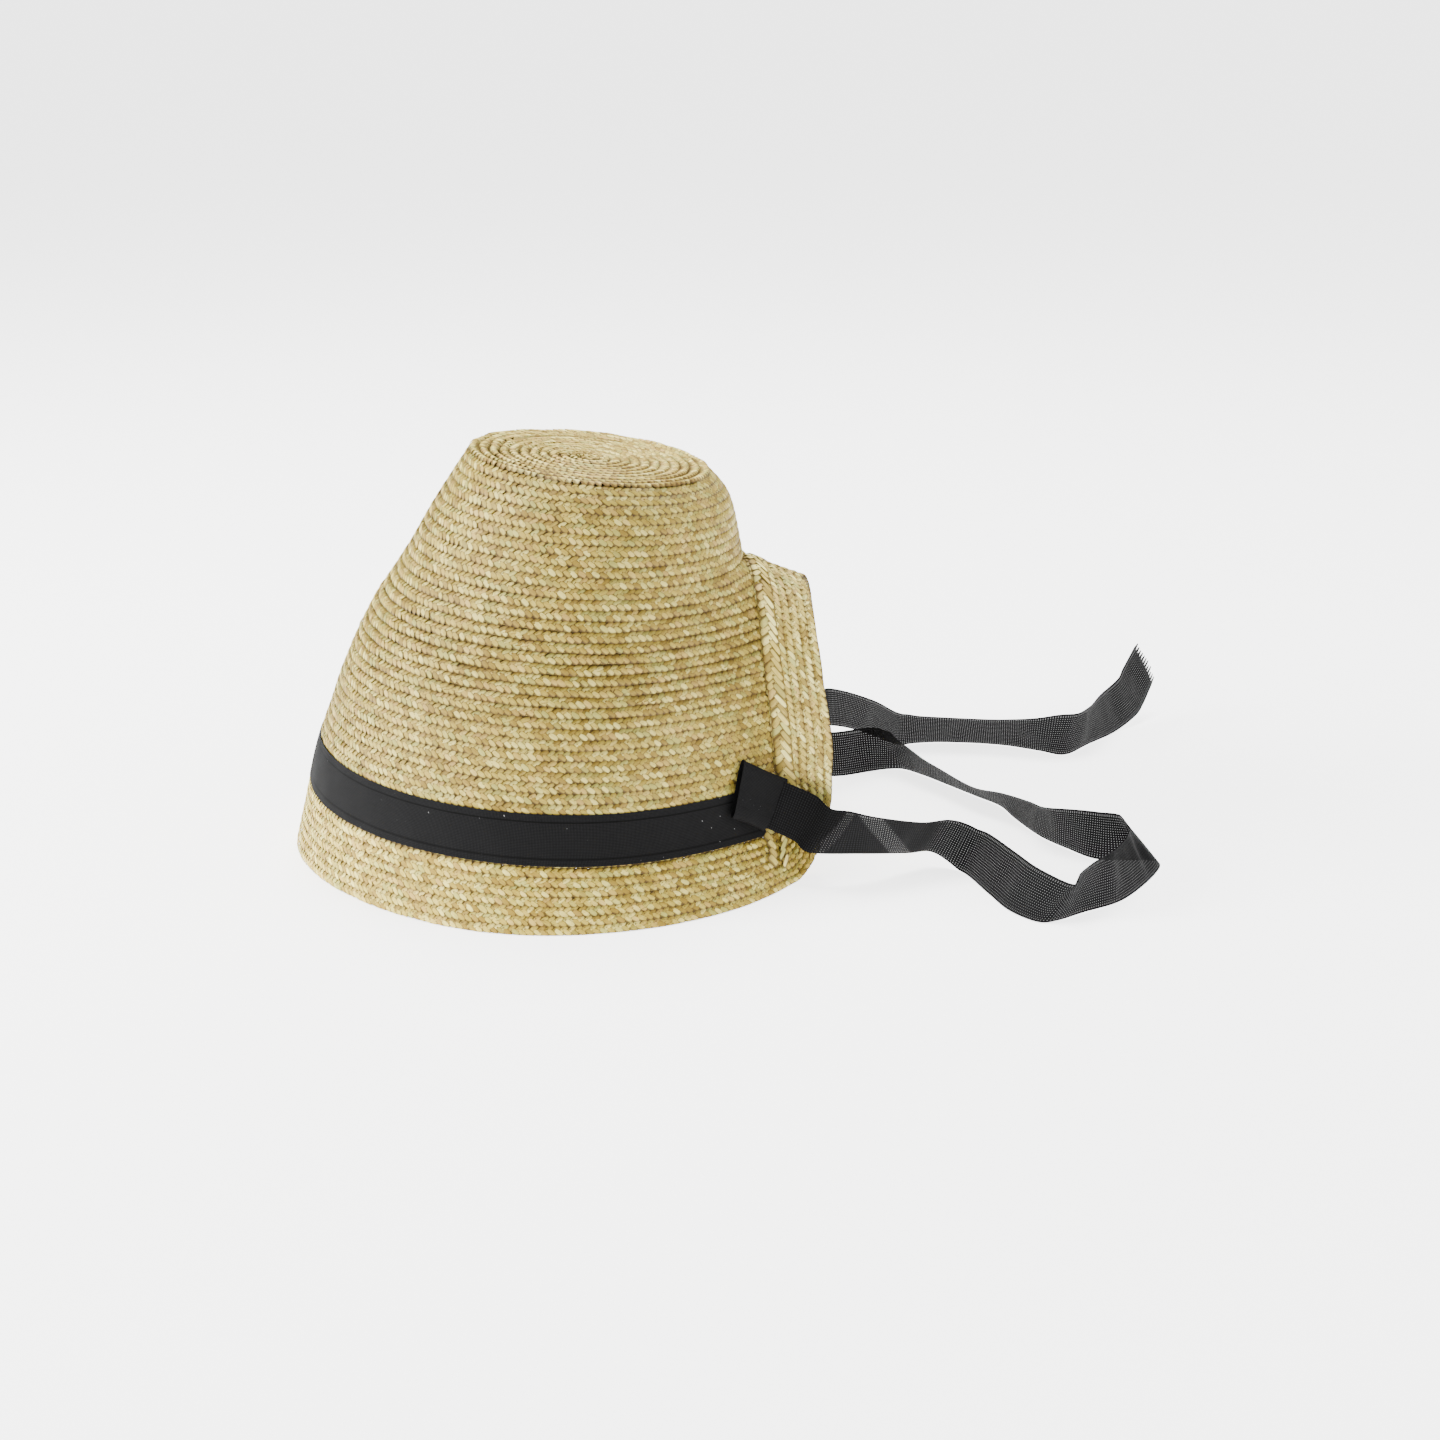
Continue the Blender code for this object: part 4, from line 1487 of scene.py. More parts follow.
@dataclass(frozen=True)
class RibbonFinish:
    """Black ribbon.

    An open ribbon lies double over double_length from the knot, apart from its folds, and beyond that
    in one layer. A stitched one has a line of stitches beside each edge.
    """

    name: str
    width: float
    weave: Weave = Weave.FIRM
    folds: tuple[Fold, ...] = ()
    double_length: float = 0.0
    stitched: bool = False

    def openness(self, look: RibbonLook, maker: NodeTree, u: Socket, v: Socket) -> Socket:
        """Share of light that the gaps between the threads let through.

        Args:
            look: Colours and measures of the ribbon.
            maker: The material's maker.
            u: Place along the ribbon.
            v: Place across it.

        Returns:
            The share.
        """
        run = (self.double_length, self.double_length + look.single_run)
        total = maker.times(maker.spread(u, run), look.single_share)
        for fold in self.folds:
            middle = maker.plus(maker.times(v, fold.slope), fold.start)
            limits = (fold.half_width, fold.half_width * look.fold_core)
            total = maker.greater(total, maker.spread(maker.away(u, middle), limits, (0.0, fold.share)))
        return total

    def stitches(self, look: RibbonLook, maker: NodeTree, v: Socket) -> Socket:
        """Where the two lines of stitches run.

        Args:
            look: Colours and measures of the ribbon.
            maker: The material's maker.
            v: Place across the ribbon.

        Returns:
            The share of stitching.
        """
        low = maker.away(v, look.stitch_inset_low)
        high = maker.away(v, self.width - look.stitch_inset_high)
        return maker.times(maker.spread(maker.math("MINIMUM", low, high), look.stitch_range),
                           look.stitch_share)

    def build(self, workshop: Workshop) -> bpy.types.Material:
        """Build the material.

        Args:
            workshop: Holder of the looks and shared groups.

        Returns:
            The material.
        """
        look = workshop.ribbon
        is_open = self.weave is Weave.OPEN
        material, maker, shader = workshop.start(self.name)
        place = maker.surface()
        u, v, _ = maker.split(place)
        weave = workshop.place_group(maker, Group.WEAVE, {
            "Place": place, "Width": self.width, "Pitch": self.weave.value,
            "Openness": self.openness(look, maker, u, v) if is_open else 0.0,
        })
        colour = maker.mix(weave["Shade"], look.thread, look.between)
        if self.stitched:
            colour = maker.mix(self.stitches(look, maker, v), colour, look.stitch)
        if is_open:
            single = maker.mix(weave["Shade"], look.single_thread, look.single_between)
            run = (self.double_length - look.single_lead, self.double_length + look.single_run)
            colour = maker.mix(maker.spread(u, run), colour, single)
            maker.feed(shader, {"Alpha": weave["Cover"]})
        else:
            speck = maker.noise(maker.vector(u, v), look.lint_scale, 1.0)
            lint = maker.times(maker.spread(speck, look.lint_range), look.lint_share)
            colour = maker.mix(lint, colour, look.lint)
        maker.feed(shader, {
            "Base Color": colour,
            "Roughness": look.roughness,
            "Specular IOR Level": look.specular,
            "Normal": maker.bump(weave["Height"], look.bump_depth, look.bump_strength),
        })
        return material


@dataclass(frozen=True)
class TableFinish:
    """Plain pale table, with a faint grain."""

    name: str = "pale_table"
    light: Colour = (0.92, 0.92, 0.915, 1.0)
    grey: Colour = (0.88, 0.88, 0.875, 1.0)
    grain_scale: float = 180.0
    grain_share: float = 0.12
    roughness: float = 0.85
    specular: float = 0.15
    glow: float = 3.0

    def build(self, workshop: Workshop) -> bpy.types.Material:
        """Build the material.

        Args:
            workshop: Holder of the looks and shared groups.

        Returns:
            The material.
        """
        material, maker, shader = workshop.start(self.name)
        place = maker.output("ShaderNodeTexCoord", {}, "Object")
        grain = maker.times(maker.noise(place, self.grain_scale, 4.0), self.grain_share)
        maker.feed(shader, {
            "Base Color": maker.mix(grain, self.light, self.grey),
            "Roughness": self.roughness,
            "Specular IOR Level": self.specular,
            "Emission Color": WHITE,
            "Emission Strength": self.glow,
        })
        return material


def dress(piece: bpy.types.Object, material: bpy.types.Material,
          nodes: Sequence[str] = ()) -> bpy.types.Object:
    """Give a piece its finish, its body and the nodes it stands for.

    Args:
        piece: The piece.
        material: Its finish.
        nodes: CAD nodes that it replaces.

    Returns:
        The piece.
    """
    piece.data.materials.append(material)
    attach(piece, BODY)
    if nodes:
        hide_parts(*nodes)
    LOG.info("%s: %d points, %d faces", piece.name, len(piece.data.vertices), len(piece.data.polygons))
    return piece


# Straw pieces


MIRROR = np.array([1.0, -1.0, 1.0])
CENTRE_LEVEL = -0.999
TURN_POINTS = 361
BODY_STRAW = StrawFinish("straw_crown", (0.80, 0.785, 0.715, 1.0))
TIP_STRAW = StrawFinish("straw_tip", (1.32, 1.31, 1.26, 1.0), 0.97)
INSIDE_STRAW = StrawFinish("straw_inside", (0.76, 0.74, 0.70, 1.0))
BINDING_STRAW = StrawFinish("straw_binding", (1.52, 1.54, 1.46, 1.0), 0.92)


@dataclass(frozen=True)
class Flange:
    """Brim or curtain: its stretch of the flange, with its columns, the way it faces and its finish."""

    name: str
    start: float
    end: float
    columns: int
    facing: float
    finish: StrawFinish


FLANGES: tuple[Flange, ...] = (
    Flange("brim", 1.5, 0.0, 150, 1.0, StrawFinish("straw_brim", (1.08, 1.07, 0.99, 1.0))),
    Flange("neck_curtain", 1.5, 3.0, 110, -1.0,
           StrawFinish("straw_neck_curtain", (1.45, 1.47, 1.40, 1.0), 0.92)),
)


@dataclass(frozen=True)
class WallLine:
    """Line of points on a row of the wall: its edge of the row, its depth and its share of the row."""

    across: float
    drop: float
    share: float


WALL_LINES = (WallLine(0.0, 0.0004, 0.02), WallLine(1.0, 0.0001, 0.98), WallLine(1.0, 0.0005, 1.0))


@dataclass(frozen=True)
class TipShape:
    """Rings of the tip: the small ones at its middle and the deep grooves of the outermost."""

    small_rings: int = 2
    deep_rings: int = 3
    spacing: float = 0.0030
    leaf_length: float = 0.0040
    leaf_width: float = 0.0026
    groove: float = 1.35
    shade_width: float = 0.38
    deep_groove: float = 2.3
    deep_shade_width: float = 0.50


@dataclass(frozen=True)
class Grooves:
    """Strength of a row's overlap on the next row, which raises its edge and sets how strong its painted
    shadow is.

    On the crown's side it is greatest at height, and spread is how far up and down that reaches.
    """

    height: float = 0.116
    spread: float = 0.026
    least: float = 0.46
    swell: float = 1.20
    flange: float = 0.7
    inside: float = 0.5
    under_band: float = 0.2


@dataclass(frozen=True)
class BindingShape:
    """Neck binding: its stretch of the flange, its place on the curtain and its tails over the brim."""

    start: float = 1.35
    columns: int = 130
    width: float = 0.0095
    inset: float = 0.0008
    lift: float = 0.0012
    tail_shares: tuple[float, float] = (0.952, 1.0)
    tail_reach: float = 0.52
    tail_spread: float = 1.12
    tail_lift: float = 0.0015
    tail_points: int = 14


@dataclass
class Braidwork:
    """The straw: crown, brim, neck curtain and neck binding in rows of braid."""

    form: StrawForm
    workshop: Workshop
    plaiter: Plaiter
    style: BraidStyle = BraidStyle()
    binding_style: BraidStyle = BraidStyle(
        spacing=0.0046, leaf_length=0.0084, leaf_width=0.0040, dome=0.0003, slant=math.radians(40),
        proud=0.0, edge_drop=0.0005, tuck=0.0, overhang=0.0, steps_along=6)
    tip: TipShape = TipShape()
    grooves: Grooves = Grooves()
    binding: BindingShape = BindingShape()
    wall: float = 0.0020
    wall_share: float = 0.8
    flange_rows: int = 7
    under_rows: int = 5
    under_flat: float = 0.6
    crown_depth: float = 0.0003
    flange_depth: float = 0.0005

    def crown_strip(self, start: float, end: float, offset: float = 0.0, inside: bool = False) -> Strip:
        """Row of the crown between two levels.

        Args:
            start: Level of its upper edge.
            end: Level of its lower edge.
            offset: Height over the surface.
            inside: True for the inner side of the wall.

        Returns:
            The row.
        """
        angle = np.linspace(0.0, 2 * math.pi, TURN_POINTS)
        normals = self.form.normal((start + end) / 2, angle)
        upper = self.form.point(start, angle) + normals * offset
        lower = self.form.point(end, angle) + normals * offset
        has_opening = float(self.form.neck_angle(end)) > 0.0

        def open_share(across: np.ndarray) -> np.ndarray:
            """Share of the turn that the neck opening takes at a place across the row."""
            return self.form.neck_angle(blend(start, end, across)) / (2 * math.pi)

        return Strip(upper, lower, -normals if inside else normals, True,
                     open_share if has_opening else None)

    def flange_lines(self, shares: Sequence[float],
                     facing: float) -> tuple[np.ndarray, np.ndarray, np.ndarray]:
        """Inner line, outer line and normals of a flange from one side to the other.

        Args:
            shares: Shares along the wearer's left, the last at the middle.
            facing: 1 for the brim, -1 for the curtain.

        Returns:
            The three arrays.
        """
        left = [self.form.flange_pair(share) for share in shares]
        pairs = left + [(inner * MIRROR, outer * MIRROR) for inner, outer in reversed(left[:-1])]
        inner = np.array([pair[0] for pair in pairs])
        outer = np.array([pair[1] for pair in pairs])
        ahead = np.gradient((inner + outer) / 2, axis=0)
        return inner, outer, unit(np.cross(ahead, outer - inner) * facing)

    def flange_strips(self, lines: tuple[np.ndarray, np.ndarray, np.ndarray], offset: float,
                      inside: bool = False) -> list[Strip]:
        """Rows of a flange.

        Args:
            lines: Inner line, outer line and normals.
            offset: Height over the surface.
            inside: True for the lower side.

        Returns:
            The rows from the inner edge out.
        """
        inner, outer, normals = lines
        strips = []
        for row in range(self.flange_rows):
            upper = blend(inner, outer, row / self.flange_rows) + normals * offset
            lower = blend(inner, outer, (row + 1) / self.flange_rows) + normals * offset
            strips.append(Strip(upper, lower, -normals if inside else normals))
        return strips

    def groove(self, strip: Strip) -> float:
        """Strength of a crown row's overlap, greatest at the middle of the crown's side."""
        away = (float(strip.lower[:, 2].mean()) - self.grooves.height) / self.grooves.spread
        return self.grooves.least + self.grooves.swell * math.exp(-away ** 2)

    def coarse(self, **changes: float) -> BraidStyle:
        """The style with leaves of fewer faces, for the inner side."""
        return replace(self.style, **{"steps_along": 2, "steps_across": 2, **changes})

    def ground(self, name: str, strips: Sequence[Strip]) -> bpy.types.Object:
        """Wall under the leaves, as one strip of faces for each row.

        Args:
            name: The piece's name.
            strips: The rows.

        Returns:
            The object.
        """
        points, uvs, faces = [], [], []
        count = 0
        for row, strip in enumerate(strips):
            columns = len(strip.upper)
            for wall_line in WALL_LINES:
                line, normals, runs = strip.line(wall_line.across)
                points.append(line - normals * wall_line.drop)
                uvs.append(np.stack([runs / self.style.spacing, np.full(columns, row + wall_line.share)],
                                    axis=1))
            faces.append(grid_faces(len(WALL_LINES), columns) + count)
            count += len(WALL_LINES) * columns
        return mesh_object(name, above_table(np.concatenate(points)), np.concatenate(faces),
                           np.concatenate(uvs))

    def finish(self, piece: bpy.types.Object, finish: StrawFinish | GroundFinish,
               nodes: Sequence[str] = ()) -> None:
        """Dress a piece of straw braid.

        Args:
            piece: The piece.
            finish: Its finish.
            nodes: CAD nodes that it replaces.
        """
        dress(piece, finish.build(self.workshop), nodes)

    def build_tip(self, rows: Sequence[tuple[float, float]]) -> None:
        """Rings of the flat tip.

        Args:
            rows: Levels of each ring's edges, from the middle out.
        """
        tip = self.tip
        batch = LeafBatch()
        for number, (start, end) in enumerate(rows):
            is_deep = number >= len(rows) - tip.deep_rings
            if number < tip.small_rings:
                style = self.coarse(spacing=tip.spacing, leaf_length=tip.leaf_length,
                                    leaf_width=tip.leaf_width)
            else:
                style = replace(self.style, shade_width=tip.deep_shade_width if is_deep else tip.shade_width)
            strip = self.crown_strip(max(start, CENTRE_LEVEL), end)
            self.plaiter.lay(batch, strip, style, Facing.OUTER, tip.deep_groove if is_deep else tip.groove)
        self.finish(batch.build("crown_tip"), TIP_STRAW, ["crown"])

    def build_crown(self) -> None:
        """Crown: rings on the tip, then rows down the side, inside and outside."""
        form = self.form
        rings = round(form.tip_radius / form.braid_pitch)
        tip_edges = [-step / rings for step in range(rings, -1, -1)]
        tip_rows = list(zip(tip_edges, tip_edges[1:]))
        side_rows = list(zip(form.row_edges, form.row_edges[1:]))
        below = np.linspace(form.band_start, form.crown_end, self.under_rows + 1).tolist()
        under_rows = list(zip(below, below[1:]))
        self.build_tip(tip_rows)

        straw = BODY_STRAW.build(self.workshop)
        half = len(side_rows) // 2
        for name, rows in (("crown_upper_rows", side_rows[:half]), ("crown_lower_rows", side_rows[half:])):
            batch = LeafBatch()
            for start, end in rows:
                strip = self.crown_strip(start, end)
                self.plaiter.lay(batch, strip, self.style, Facing.OUTER, self.groove(strip))
            dress(batch.build(name), straw)

        batch = LeafBatch()
        for start, end in under_rows:
            self.plaiter.lay(batch, self.crown_strip(start, end), self.coarse(flat=self.under_flat),
                             Facing.OUTER, self.grooves.under_band)
        for start, end in tip_rows[self.tip.small_rings:] + side_rows + under_rows:
            strip = self.crown_strip(start, end, -self.wall * self.wall_share, True)
            self.plaiter.lay(batch, strip, self.coarse(), Facing.INNER, self.grooves.inside)
        self.finish(batch.build("crown_inside"), INSIDE_STRAW)

        strips = [self.crown_strip(max(start, CENTRE_LEVEL), end, -self.crown_depth)
                  for start, end in tip_rows + side_rows + under_rows]
        self.finish(self.ground("crown_wall", strips), GroundFinish("straw_ground"))

    def build_flange(self, flange: Flange) -> None:
        """Brim or neck curtain.

        Args:
            flange: Which of the two.
        """
        name = flange.name
        shares = np.linspace(flange.start, flange.end, flange.columns).tolist()
        lines = self.flange_lines(shares, flange.facing)
        straw = flange.finish.build(self.workshop)
        outer = LeafBatch()
        for strip in self.flange_strips(lines, 0.0):
            self.plaiter.lay(outer, strip, self.style, Facing.OUTER, self.grooves.flange)
        dress(outer.build(f"{name}_braid"), straw, [name])
        inner = LeafBatch()
        for strip in self.flange_strips(lines, -self.wall * self.wall_share, True):
            self.plaiter.lay(inner, strip, self.coarse(), Facing.INNER, self.grooves.inside)
        dress(inner.build(f"{name}_inside"), straw)
        wall = self.ground(f"{name}_wall", self.flange_strips(lines, -self.flange_depth))
        self.finish(wall, GroundFinish(f"straw_ground_{name}"))

    def tail_strips(self) -> list[Strip]:
        """Ends of the neck binding, laid down over the brim.

        Returns:
            The tail on the wearer's left and the one on the right.
        """
        binding = self.binding
        first, second = (self.form.flange_pair(share) for share in binding.tail_shares)
        reach = np.linspace(0.0, binding.tail_reach, binding.tail_points)[:, None]
        upper = first[0] + (first[1] - first[0]) * reach
        lower = second[0] + (second[1] - second[0]) * (reach * binding.tail_spread)
        normals = unit(np.cross(lower - upper, np.gradient(upper, axis=0)))
        normals = -normals * np.sign(normals[:, 1:2])
        lift = normals * binding.tail_lift
        left = Strip(upper + lift, lower + lift, normals)
        return [left, Strip((lower + lift) * MIRROR, (upper + lift) * MIRROR, normals * MIRROR)]

    def build_binding(self) -> None:
        """Neck binding: one wide flat braid along the neck opening."""
        binding = self.binding
        top = FLANGES[-1].end
        inner, outer, normals = self.flange_lines(np.linspace(binding.start, top, binding.columns).tolist(),
                                                  -1.0)
        across = unit(outer - inner)
        upper = inner + across * binding.inset + normals * binding.lift
        lower = inner + across * (binding.inset + binding.width) + normals * binding.lift
        main_strip = Strip(upper, lower, normals)
        batch = LeafBatch()
        for strip in [main_strip, *self.tail_strips()]:
            self.plaiter.lay(batch, strip, self.binding_style, Facing.OUTER)
        dress(batch.build("neck_binding_braid"), BINDING_STRAW.build(self.workshop),
              ["neck_binding"])
        ground = GroundFinish("straw_ground_binding").build(self.workshop)
        dress(self.ground("neck_binding_wall", [main_strip]), ground)

    def build(self) -> None:
        """Build all the straw."""
        self.build_crown()
        for flange in FLANGES:
            self.build_flange(flange)
        self.build_binding()


# Ribbons


@dataclass(frozen=True)
class Tie:
    """One tie: its stations, the length that their shares count in, its side and how it ends.

    It lies double over double_length from the knot, apart from its folds.
    """

    name: str
    stations: tuple[Station, ...]
    reach: float
    side: Side
    double_length: float
    folds: tuple[Fold, ...] = ()
    frayed: bool = False


TIES: tuple[Tie, ...] = (
    Tie("tie_left", LEFT_TIE, 0.200, Side.LEFT, 0.086, folds=(
        Fold(start=0.0320, slope=0.36, half_width=0.0036, share=0.075),
        Fold(start=0.0755, slope=-0.94, half_width=0.0085, share=0.17),
    )),
    Tie("tie_right", RIGHT_TIE, 0.240, Side.RIGHT, 0.030, frayed=True),
)


@dataclass(frozen=True)
class Wave:
    """Wave along a ribbon: its height, its length and where it starts."""

    height: float
    length: float
    phase: float = 0.0

    def at(self, along: np.ndarray) -> np.ndarray:
        """Heights of the wave at lengths along the ribbon."""
        return self.height * np.sin(along / self.length * 2 * math.pi + self.phase)


@dataclass(frozen=True)
class BandShape:
    """How the hat band lies on the crown: its ends, its bow and its ripple."""

    reach: float = math.radians(31.5)
    columns: int = 360
    rows: int = 14
    edge_shift: float = 0.015
    lift: float = 0.0011
    bow: float = 0.00035
    ripple: float = 0.00012
    ripple_lengths: tuple[float, float] = (0.06, 0.023)
    phase_span: float = 6.0


@dataclass(frozen=True)
class KnotShape:
    """Short wrap of ribbon over the end of the band.

    foot and band_end are angles round the crown from the nape, place is a share of the way from the
    band to the binding, and squareness is the power that rounds the wrap's corners.
    """

    height: float = 0.029
    thickness: float = 0.0042
    tilt: float = math.radians(27)
    clearance: float = 0.0009
    place: float = 0.41
    lift: float = 0.010
    foot: float = math.radians(42)
    band_end: float = math.radians(38)
    slope_margin: float = 0.1
    around: int = 56
    columns: int = 20
    squareness: float = 0.28
    side_squareness: float = 0.8
    pleat: float = 0.00030
    pleat_turn: float = 1.1
    pleat_phase: float = 0.6
    waist: float = 0.035
    flare: float = 0.17


@dataclass(frozen=True)
class FrayShape:
    """Tooth-like threads at a cut end, in shares of their pitch or of their length."""

    teeth: int = 12
    length: float = 0.0048
    least_length: float = 0.75
    length_spread: float = 0.5
    root: float = 0.49
    taper: float = 0.62


def rounded(values: np.ndarray, power: float) -> np.ndarray:
    """Values brought to a power, each with its own sign."""
    return np.sign(values) * np.abs(values) ** power


@dataclass
class Ribbons:
    """Black ribbon: the band, the knots over its ends and the ties."""

    form: StrawForm
    workshop: Workshop
    chance: np.random.Generator
    binding_width: float
    band: BandShape = BandShape()
    knot: KnotShape = KnotShape()
    fray: FrayShape = FrayShape()
    thickness: float = 0.0010
    tie_tuck: float = 0.002
    tie_clearance: float = 0.0005
    least_rise: float = 0.04
    steps: int = 8
    columns: int = 14
    curls: tuple[Wave, ...] = (Wave(0.0007, 0.031), Wave(0.0005, 0.0173, 1.0))

    @property
    def width(self) -> float:
        """Width of the ribbon."""
        return self.form.ribbon_width

    def knot_frame(self) -> tuple[np.ndarray, np.ndarray, np.ndarray, np.ndarray]:
        """Place and directions of the knot on the wearer's left.

        Returns:
            Its middle, and the directions to its right, up and out.
        """
        form, knot = self.form, self.knot
        start, end = form.band_start, form.crown_end
        level = blend(start, end, 0.5)
        on_band = form.point(level, knot.foot) + form.normal(level, knot.foot) * self.thickness
        neck = form.point(level, form.neck_angle(level))
        on_binding = neck + unit(form.curtain_reach(form.curtain_full)) * self.binding_width
        along = unit(on_binding - on_band)
        high = form.point(blend(start, end, knot.slope_margin), knot.band_end)
        low = form.point(blend(start, end, 1 - knot.slope_margin), knot.band_end)
        outward = unit(np.cross(along, high - low))
        upward = np.cross(outward, along)
        right = along * math.cos(knot.tilt) - upward * math.sin(knot.tilt)
        up = along * math.sin(knot.tilt) + upward * math.cos(knot.tilt)
        middle = blend(on_band, on_binding, knot.place) + upward * knot.lift
        middle = middle + outward * (knot.clearance + knot.thickness / 2)
        return middle, right, up, outward

    def build_band(self) -> None:
        """Hat band: ribbon laid flat round the foot of the crown."""
        form, band = self.form, self.band
        angle = np.linspace(band.reach, 2 * math.pi - band.reach, band.columns + 1)
        along = run_along(form.point(blend(form.band_start, form.crown_end, 0.5), angle))
        ripple = sum(Wave(1.0, length, self.chance.random() * band.phase_span).at(along)
                     for length in band.ripple_lengths)
        points, uvs = [], []
        for row in range(band.rows + 1):
            share = row / band.rows
            level = blend(form.band_start, form.crown_end, share - band.edge_shift)
            bow = band.bow * math.sin(math.pi * share) + band.ripple * ripple * math.cos(math.pi * share)
            points.append(form.point(level, angle) + form.normal(level, angle) * (band.lift + bow)[:, None])
            uvs.append(np.stack([along, np.full(len(along), self.width * (1 - share))], axis=1))
        piece = mesh_object("hat_band_ribbon", np.concatenate(points),
                            grid_faces(band.rows + 1, band.columns + 1), np.concatenate(uvs))
        finish = RibbonFinish("ribbon_band", self.width, stitched=True)
        dress(piece, finish.build(self.workshop), ["hat_band"])

    def build_knot(self, name: str, side: Side) -> None:
        """Knot: a short stretch of ribbon wrapped over the end of the band.

        Args:
            name: CAD node that it replaces.
            side: The wearer's side.
        """
        knot = self.knot
        middle, right, up, outward = self.knot_frame()
        turn = np.linspace(0.0, 2 * math.pi, knot.around, endpoint=False)
        wrap = rounded(np.sin(turn), knot.squareness)
        height = wrap * knot.height / 2
        depth = rounded(np.cos(turn), knot.side_squareness) * knot.thickness / 2
        share = np.linspace(-1.0, 1.0, knot.columns + 1)
        pleat = knot.pleat * np.cos(share * math.pi * knot.pleat_turn + knot.pleat_phase)
        waist = 1.0 - knot.waist * np.cos(share * math.pi / 2)
        flare = 1.0 + knot.flare * wrap
        points = (
            middle
            + right * (flare[:, None] * share[None] * self.width / 2)[..., None]
            + up * (height[:, None] * waist[None])[..., None]
            + outward * (depth[:, None] + pleat[None] * np.sign(depth)[:, None])[..., None]
        )
        points = points.reshape(-1, 3) * np.array([1.0, side.value, 1.0])
        run = run_along(np.stack([height, depth], axis=1))
        uvs = np.stack([np.repeat(run, knot.columns + 1),
                        np.tile((share + 1) / 2 * self.width, knot.around)], axis=1)
        faces = grid_faces(knot.around, knot.columns + 1, closed=True)
        if side is Side.LEFT:
            faces = faces[:, ::-1]
        piece = mesh_object(f"{name}_ribbon", points, faces, uvs)
        finish = RibbonFinish(f"ribbon_{name}", self.width)
        dress(piece, finish.build(self.workshop), [name])

    def tie_lines(self, tie: Tie) -> tuple[np.ndarray, np.ndarray]:
        """Lower edge points and edge directions of a tie.

        Args:
            tie: The tie.

        Returns:
            The points and the unit vectors from the lower to the upper edge.
        """
        middle, right, up, _ = self.knot_frame()
        side = tie.side.value
        mirror = np.array([1.0, side, 1.0])
        foot = middle + right * (self.width / 2 - self.tie_tuck) - up * (self.width / 2)
        base = middle + right * (self.width / 2 + self.thickness) - up * (self.width / 2)
        points = [foot * mirror]
        edges = [up * mirror]
        for station in tie.stations:
            points.append(np.array([base[0] + station.ahead * tie.reach,
                                    base[1] * side + station.across * tie.reach,
                                    station.lift * base[2]]))
            rise = math.sqrt(max(self.least_rise, 1.0 - station.lean_x ** 2 - station.lean_y ** 2))
            edges.append(unit(np.array([station.lean_x, station.lean_y, rise])))
        last = len(points) - 1
        places = np.linspace(0.0, last, last * self.steps + 1)
        return smooth_path(np.array(points), places), unit(smooth_path(np.array(edges), places))

    def build_tie(self, tie: Tie) -> None:
        """Tie: one length of ribbon from the knot over the table.

        Args:
            tie: The tie.
        """
        low, edge = self.tie_lines(tie)
        low[:, 2] = np.maximum(low[:, 2], self.tie_clearance)
        face = unit(np.cross(np.gradient(low, axis=0), edge))
        share = np.linspace(0.0, 1.0, self.columns + 1)
        along = run_along(low + edge * (self.width / 2))
        curl = sum(wave.at(along) for wave in self.curls)
        grid = low[:, None] + edge[:, None] * (share * self.width)[None, :, None]
        grid = grid + face[:, None] * (curl[:, None] * np.sin(share * math.pi)[None])[..., None]
        points = grid.reshape(-1, 3)
        uvs = np.stack([np.repeat(along, len(share)), np.tile(share * self.width, len(along))], axis=1)
        faces = grid_faces(len(along), len(share))
        if tie.frayed:
            teeth, places = self.fray_teeth(grid, along[-1])
            faces = np.concatenate([faces, np.arange(len(teeth)).reshape(-1, 4) + len(points)])
            points = np.concatenate([points, teeth])
            uvs = np.concatenate([uvs, places])
        piece = mesh_object(f"{tie.name}_ribbon", points, faces, uvs)
        finish = RibbonFinish(f"ribbon_{tie.name}", self.width, Weave.OPEN, tie.folds, tie.double_length)
        dress(piece, finish.build(self.workshop), [tie.name])

    def fray_teeth(self, grid: np.ndarray, end: float) -> tuple[np.ndarray, np.ndarray]:
        """Tooth-like threads at a tie's cut end.

        Args:
            grid: The ribbon's grid of points.
            end: Length of the ribbon.

        Returns:
            Four points for each tooth and their places on the ribbon.
        """
        fray = self.fray
        last = grid[-1]
        ahead = unit(last - grid[-3])
        columns = np.linspace(0.0, 1.0, len(last))
        pitch = 1.0 / fray.teeth
        points, places = [], []
        for tooth in range(fray.teeth):
            centre = (tooth + 0.5) * pitch
            length = fray.length * (fray.least_length + fray.length_spread * self.chance.random())
            shares = (centre - fray.root * pitch, centre + fray.root * pitch)
            first, second = (np.array([np.interp(share, columns, last[:, axis]) for axis in range(3)])
                             for share in shares)
            heading = np.array([np.interp(centre, columns, ahead[:, axis]) for axis in range(3)])
            middle = (first + second) / 2
            tips = [blend(root, middle, fray.taper) + heading * length for root in (second, first)]
            points.extend([first, second, *tips])
            low, high = (share * self.width for share in shares)
            places.extend([(end, low), (end, high), (end + length, high), (end + length, low)])
        return np.array(points), np.array(places)

    def build(self) -> None:
        """Build all the ribbon."""
        self.build_band()
        self.build_knot("knot_left", Side.LEFT)
        self.build_knot("knot_right", Side.RIGHT)
        for tie in TIES:
            self.build_tie(tie)


# Studio


@dataclass(frozen=True)
class Lamp:
    """Soft square lamp: its place, the side of its square and its power in watts."""

    name: str
    place: tuple[float, float, float]
    size: float
    power: float


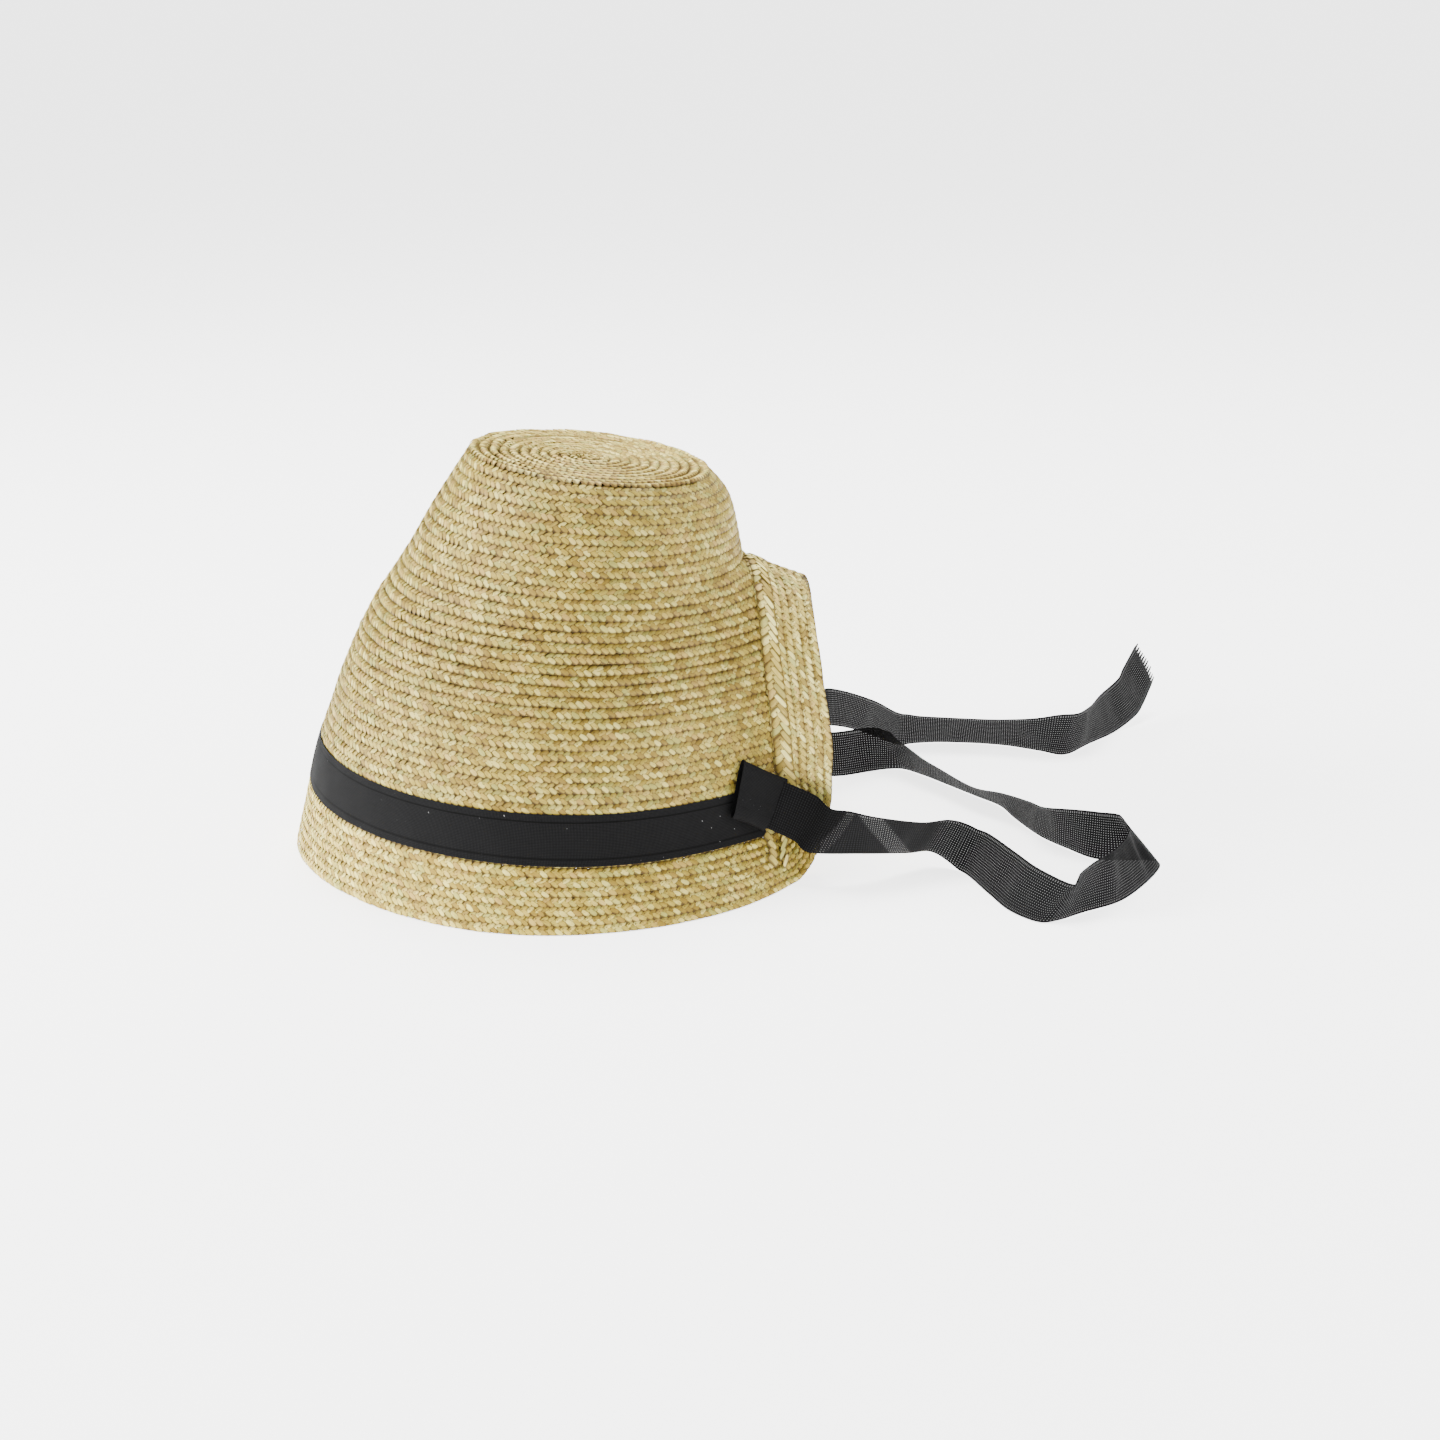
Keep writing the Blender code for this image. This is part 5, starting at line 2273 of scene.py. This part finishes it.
@dataclass
class Studio:
    """Pale table, soft light and camera."""

    workshop: Workshop
    table_reach: float = 60.0
    aim: tuple[float, float, float] = (0.03, 0.0, 0.08)
    lamps: tuple[Lamp, ...] = (
        Lamp("key", (-1.9, -0.35, 0.9), 0.8, 112.0),
        Lamp("fill", (1.8, -0.5, 0.9), 1.4, 22.0),
        Lamp("top", (0.0, 0.7, 1.9), 1.0, 62.0),
    )
    sky: float = 0.55
    camera_place: tuple[float, float, float] = (0.082, -1.160, 0.444)
    camera_pitch: float = math.radians(90 - 18.25)
    lens: float = 58.5
    sensor: float = 36.0

    def build_table(self) -> None:
        """Table top."""
        corners = np.array([[-1, -1, 0], [1, -1, 0], [1, 1, 0], [-1, 1, 0]], float)
        table = mesh_object("table", corners * self.table_reach, np.array([[0, 1, 2, 3]]), corners[:, :2])
        table.data.materials.append(TableFinish().build(self.workshop))

    def add_lamp(self, lamp: Lamp) -> None:
        """Soft light aimed at the bonnet.

        Args:
            lamp: The lamp.
        """
        data = bpy.data.lights.new(lamp.name, "AREA")
        data.size = lamp.size
        data.energy = lamp.power
        light = bpy.data.objects.new(lamp.name, data)
        bpy.context.scene.collection.objects.link(light)
        light.location = lamp.place
        x, y, z = np.array(self.aim) - np.array(lamp.place)
        light.rotation_euler = (math.atan2(math.hypot(x, y), -z), 0.0, math.atan2(x, -y) + math.pi)

    def set_sky(self) -> None:
        """Even light from all round."""
        world = bpy.data.worlds.new("studio")
        world.use_nodes = True
        background = world.node_tree.nodes["Background"]
        background.inputs["Color"].default_value = WHITE
        background.inputs["Strength"].default_value = self.sky
        bpy.context.scene.world = world

    def set_camera(self) -> None:
        """Camera of the photo."""
        data = bpy.data.cameras.new("camera")
        data.lens = self.lens
        data.sensor_width = self.sensor
        camera = bpy.data.objects.new("camera", data)
        camera.location = self.camera_place
        camera.rotation_euler = (self.camera_pitch, 0.0, 0.0)
        bpy.context.scene.collection.objects.link(camera)
        bpy.context.scene.camera = camera

    def build(self) -> None:
        """Build the studio."""
        self.build_table()
        for lamp in self.lamps:
            self.add_lamp(lamp)
        self.set_sky()
        self.set_camera()


def main() -> None:
    """Build the bonnet over its frame and set it in the studio."""
    logging.basicConfig(level=logging.INFO, format="%(message)s")
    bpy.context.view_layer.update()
    chance = np.random.default_rng(SEED)
    form = StrawForm()
    workshop = Workshop()
    braidwork = Braidwork(form, workshop, Plaiter(chance))
    braidwork.build()
    Ribbons(form, workshop, chance, braidwork.binding.width).build()
    Studio(workshop).build()


if __name__ == "__main__":
    main()
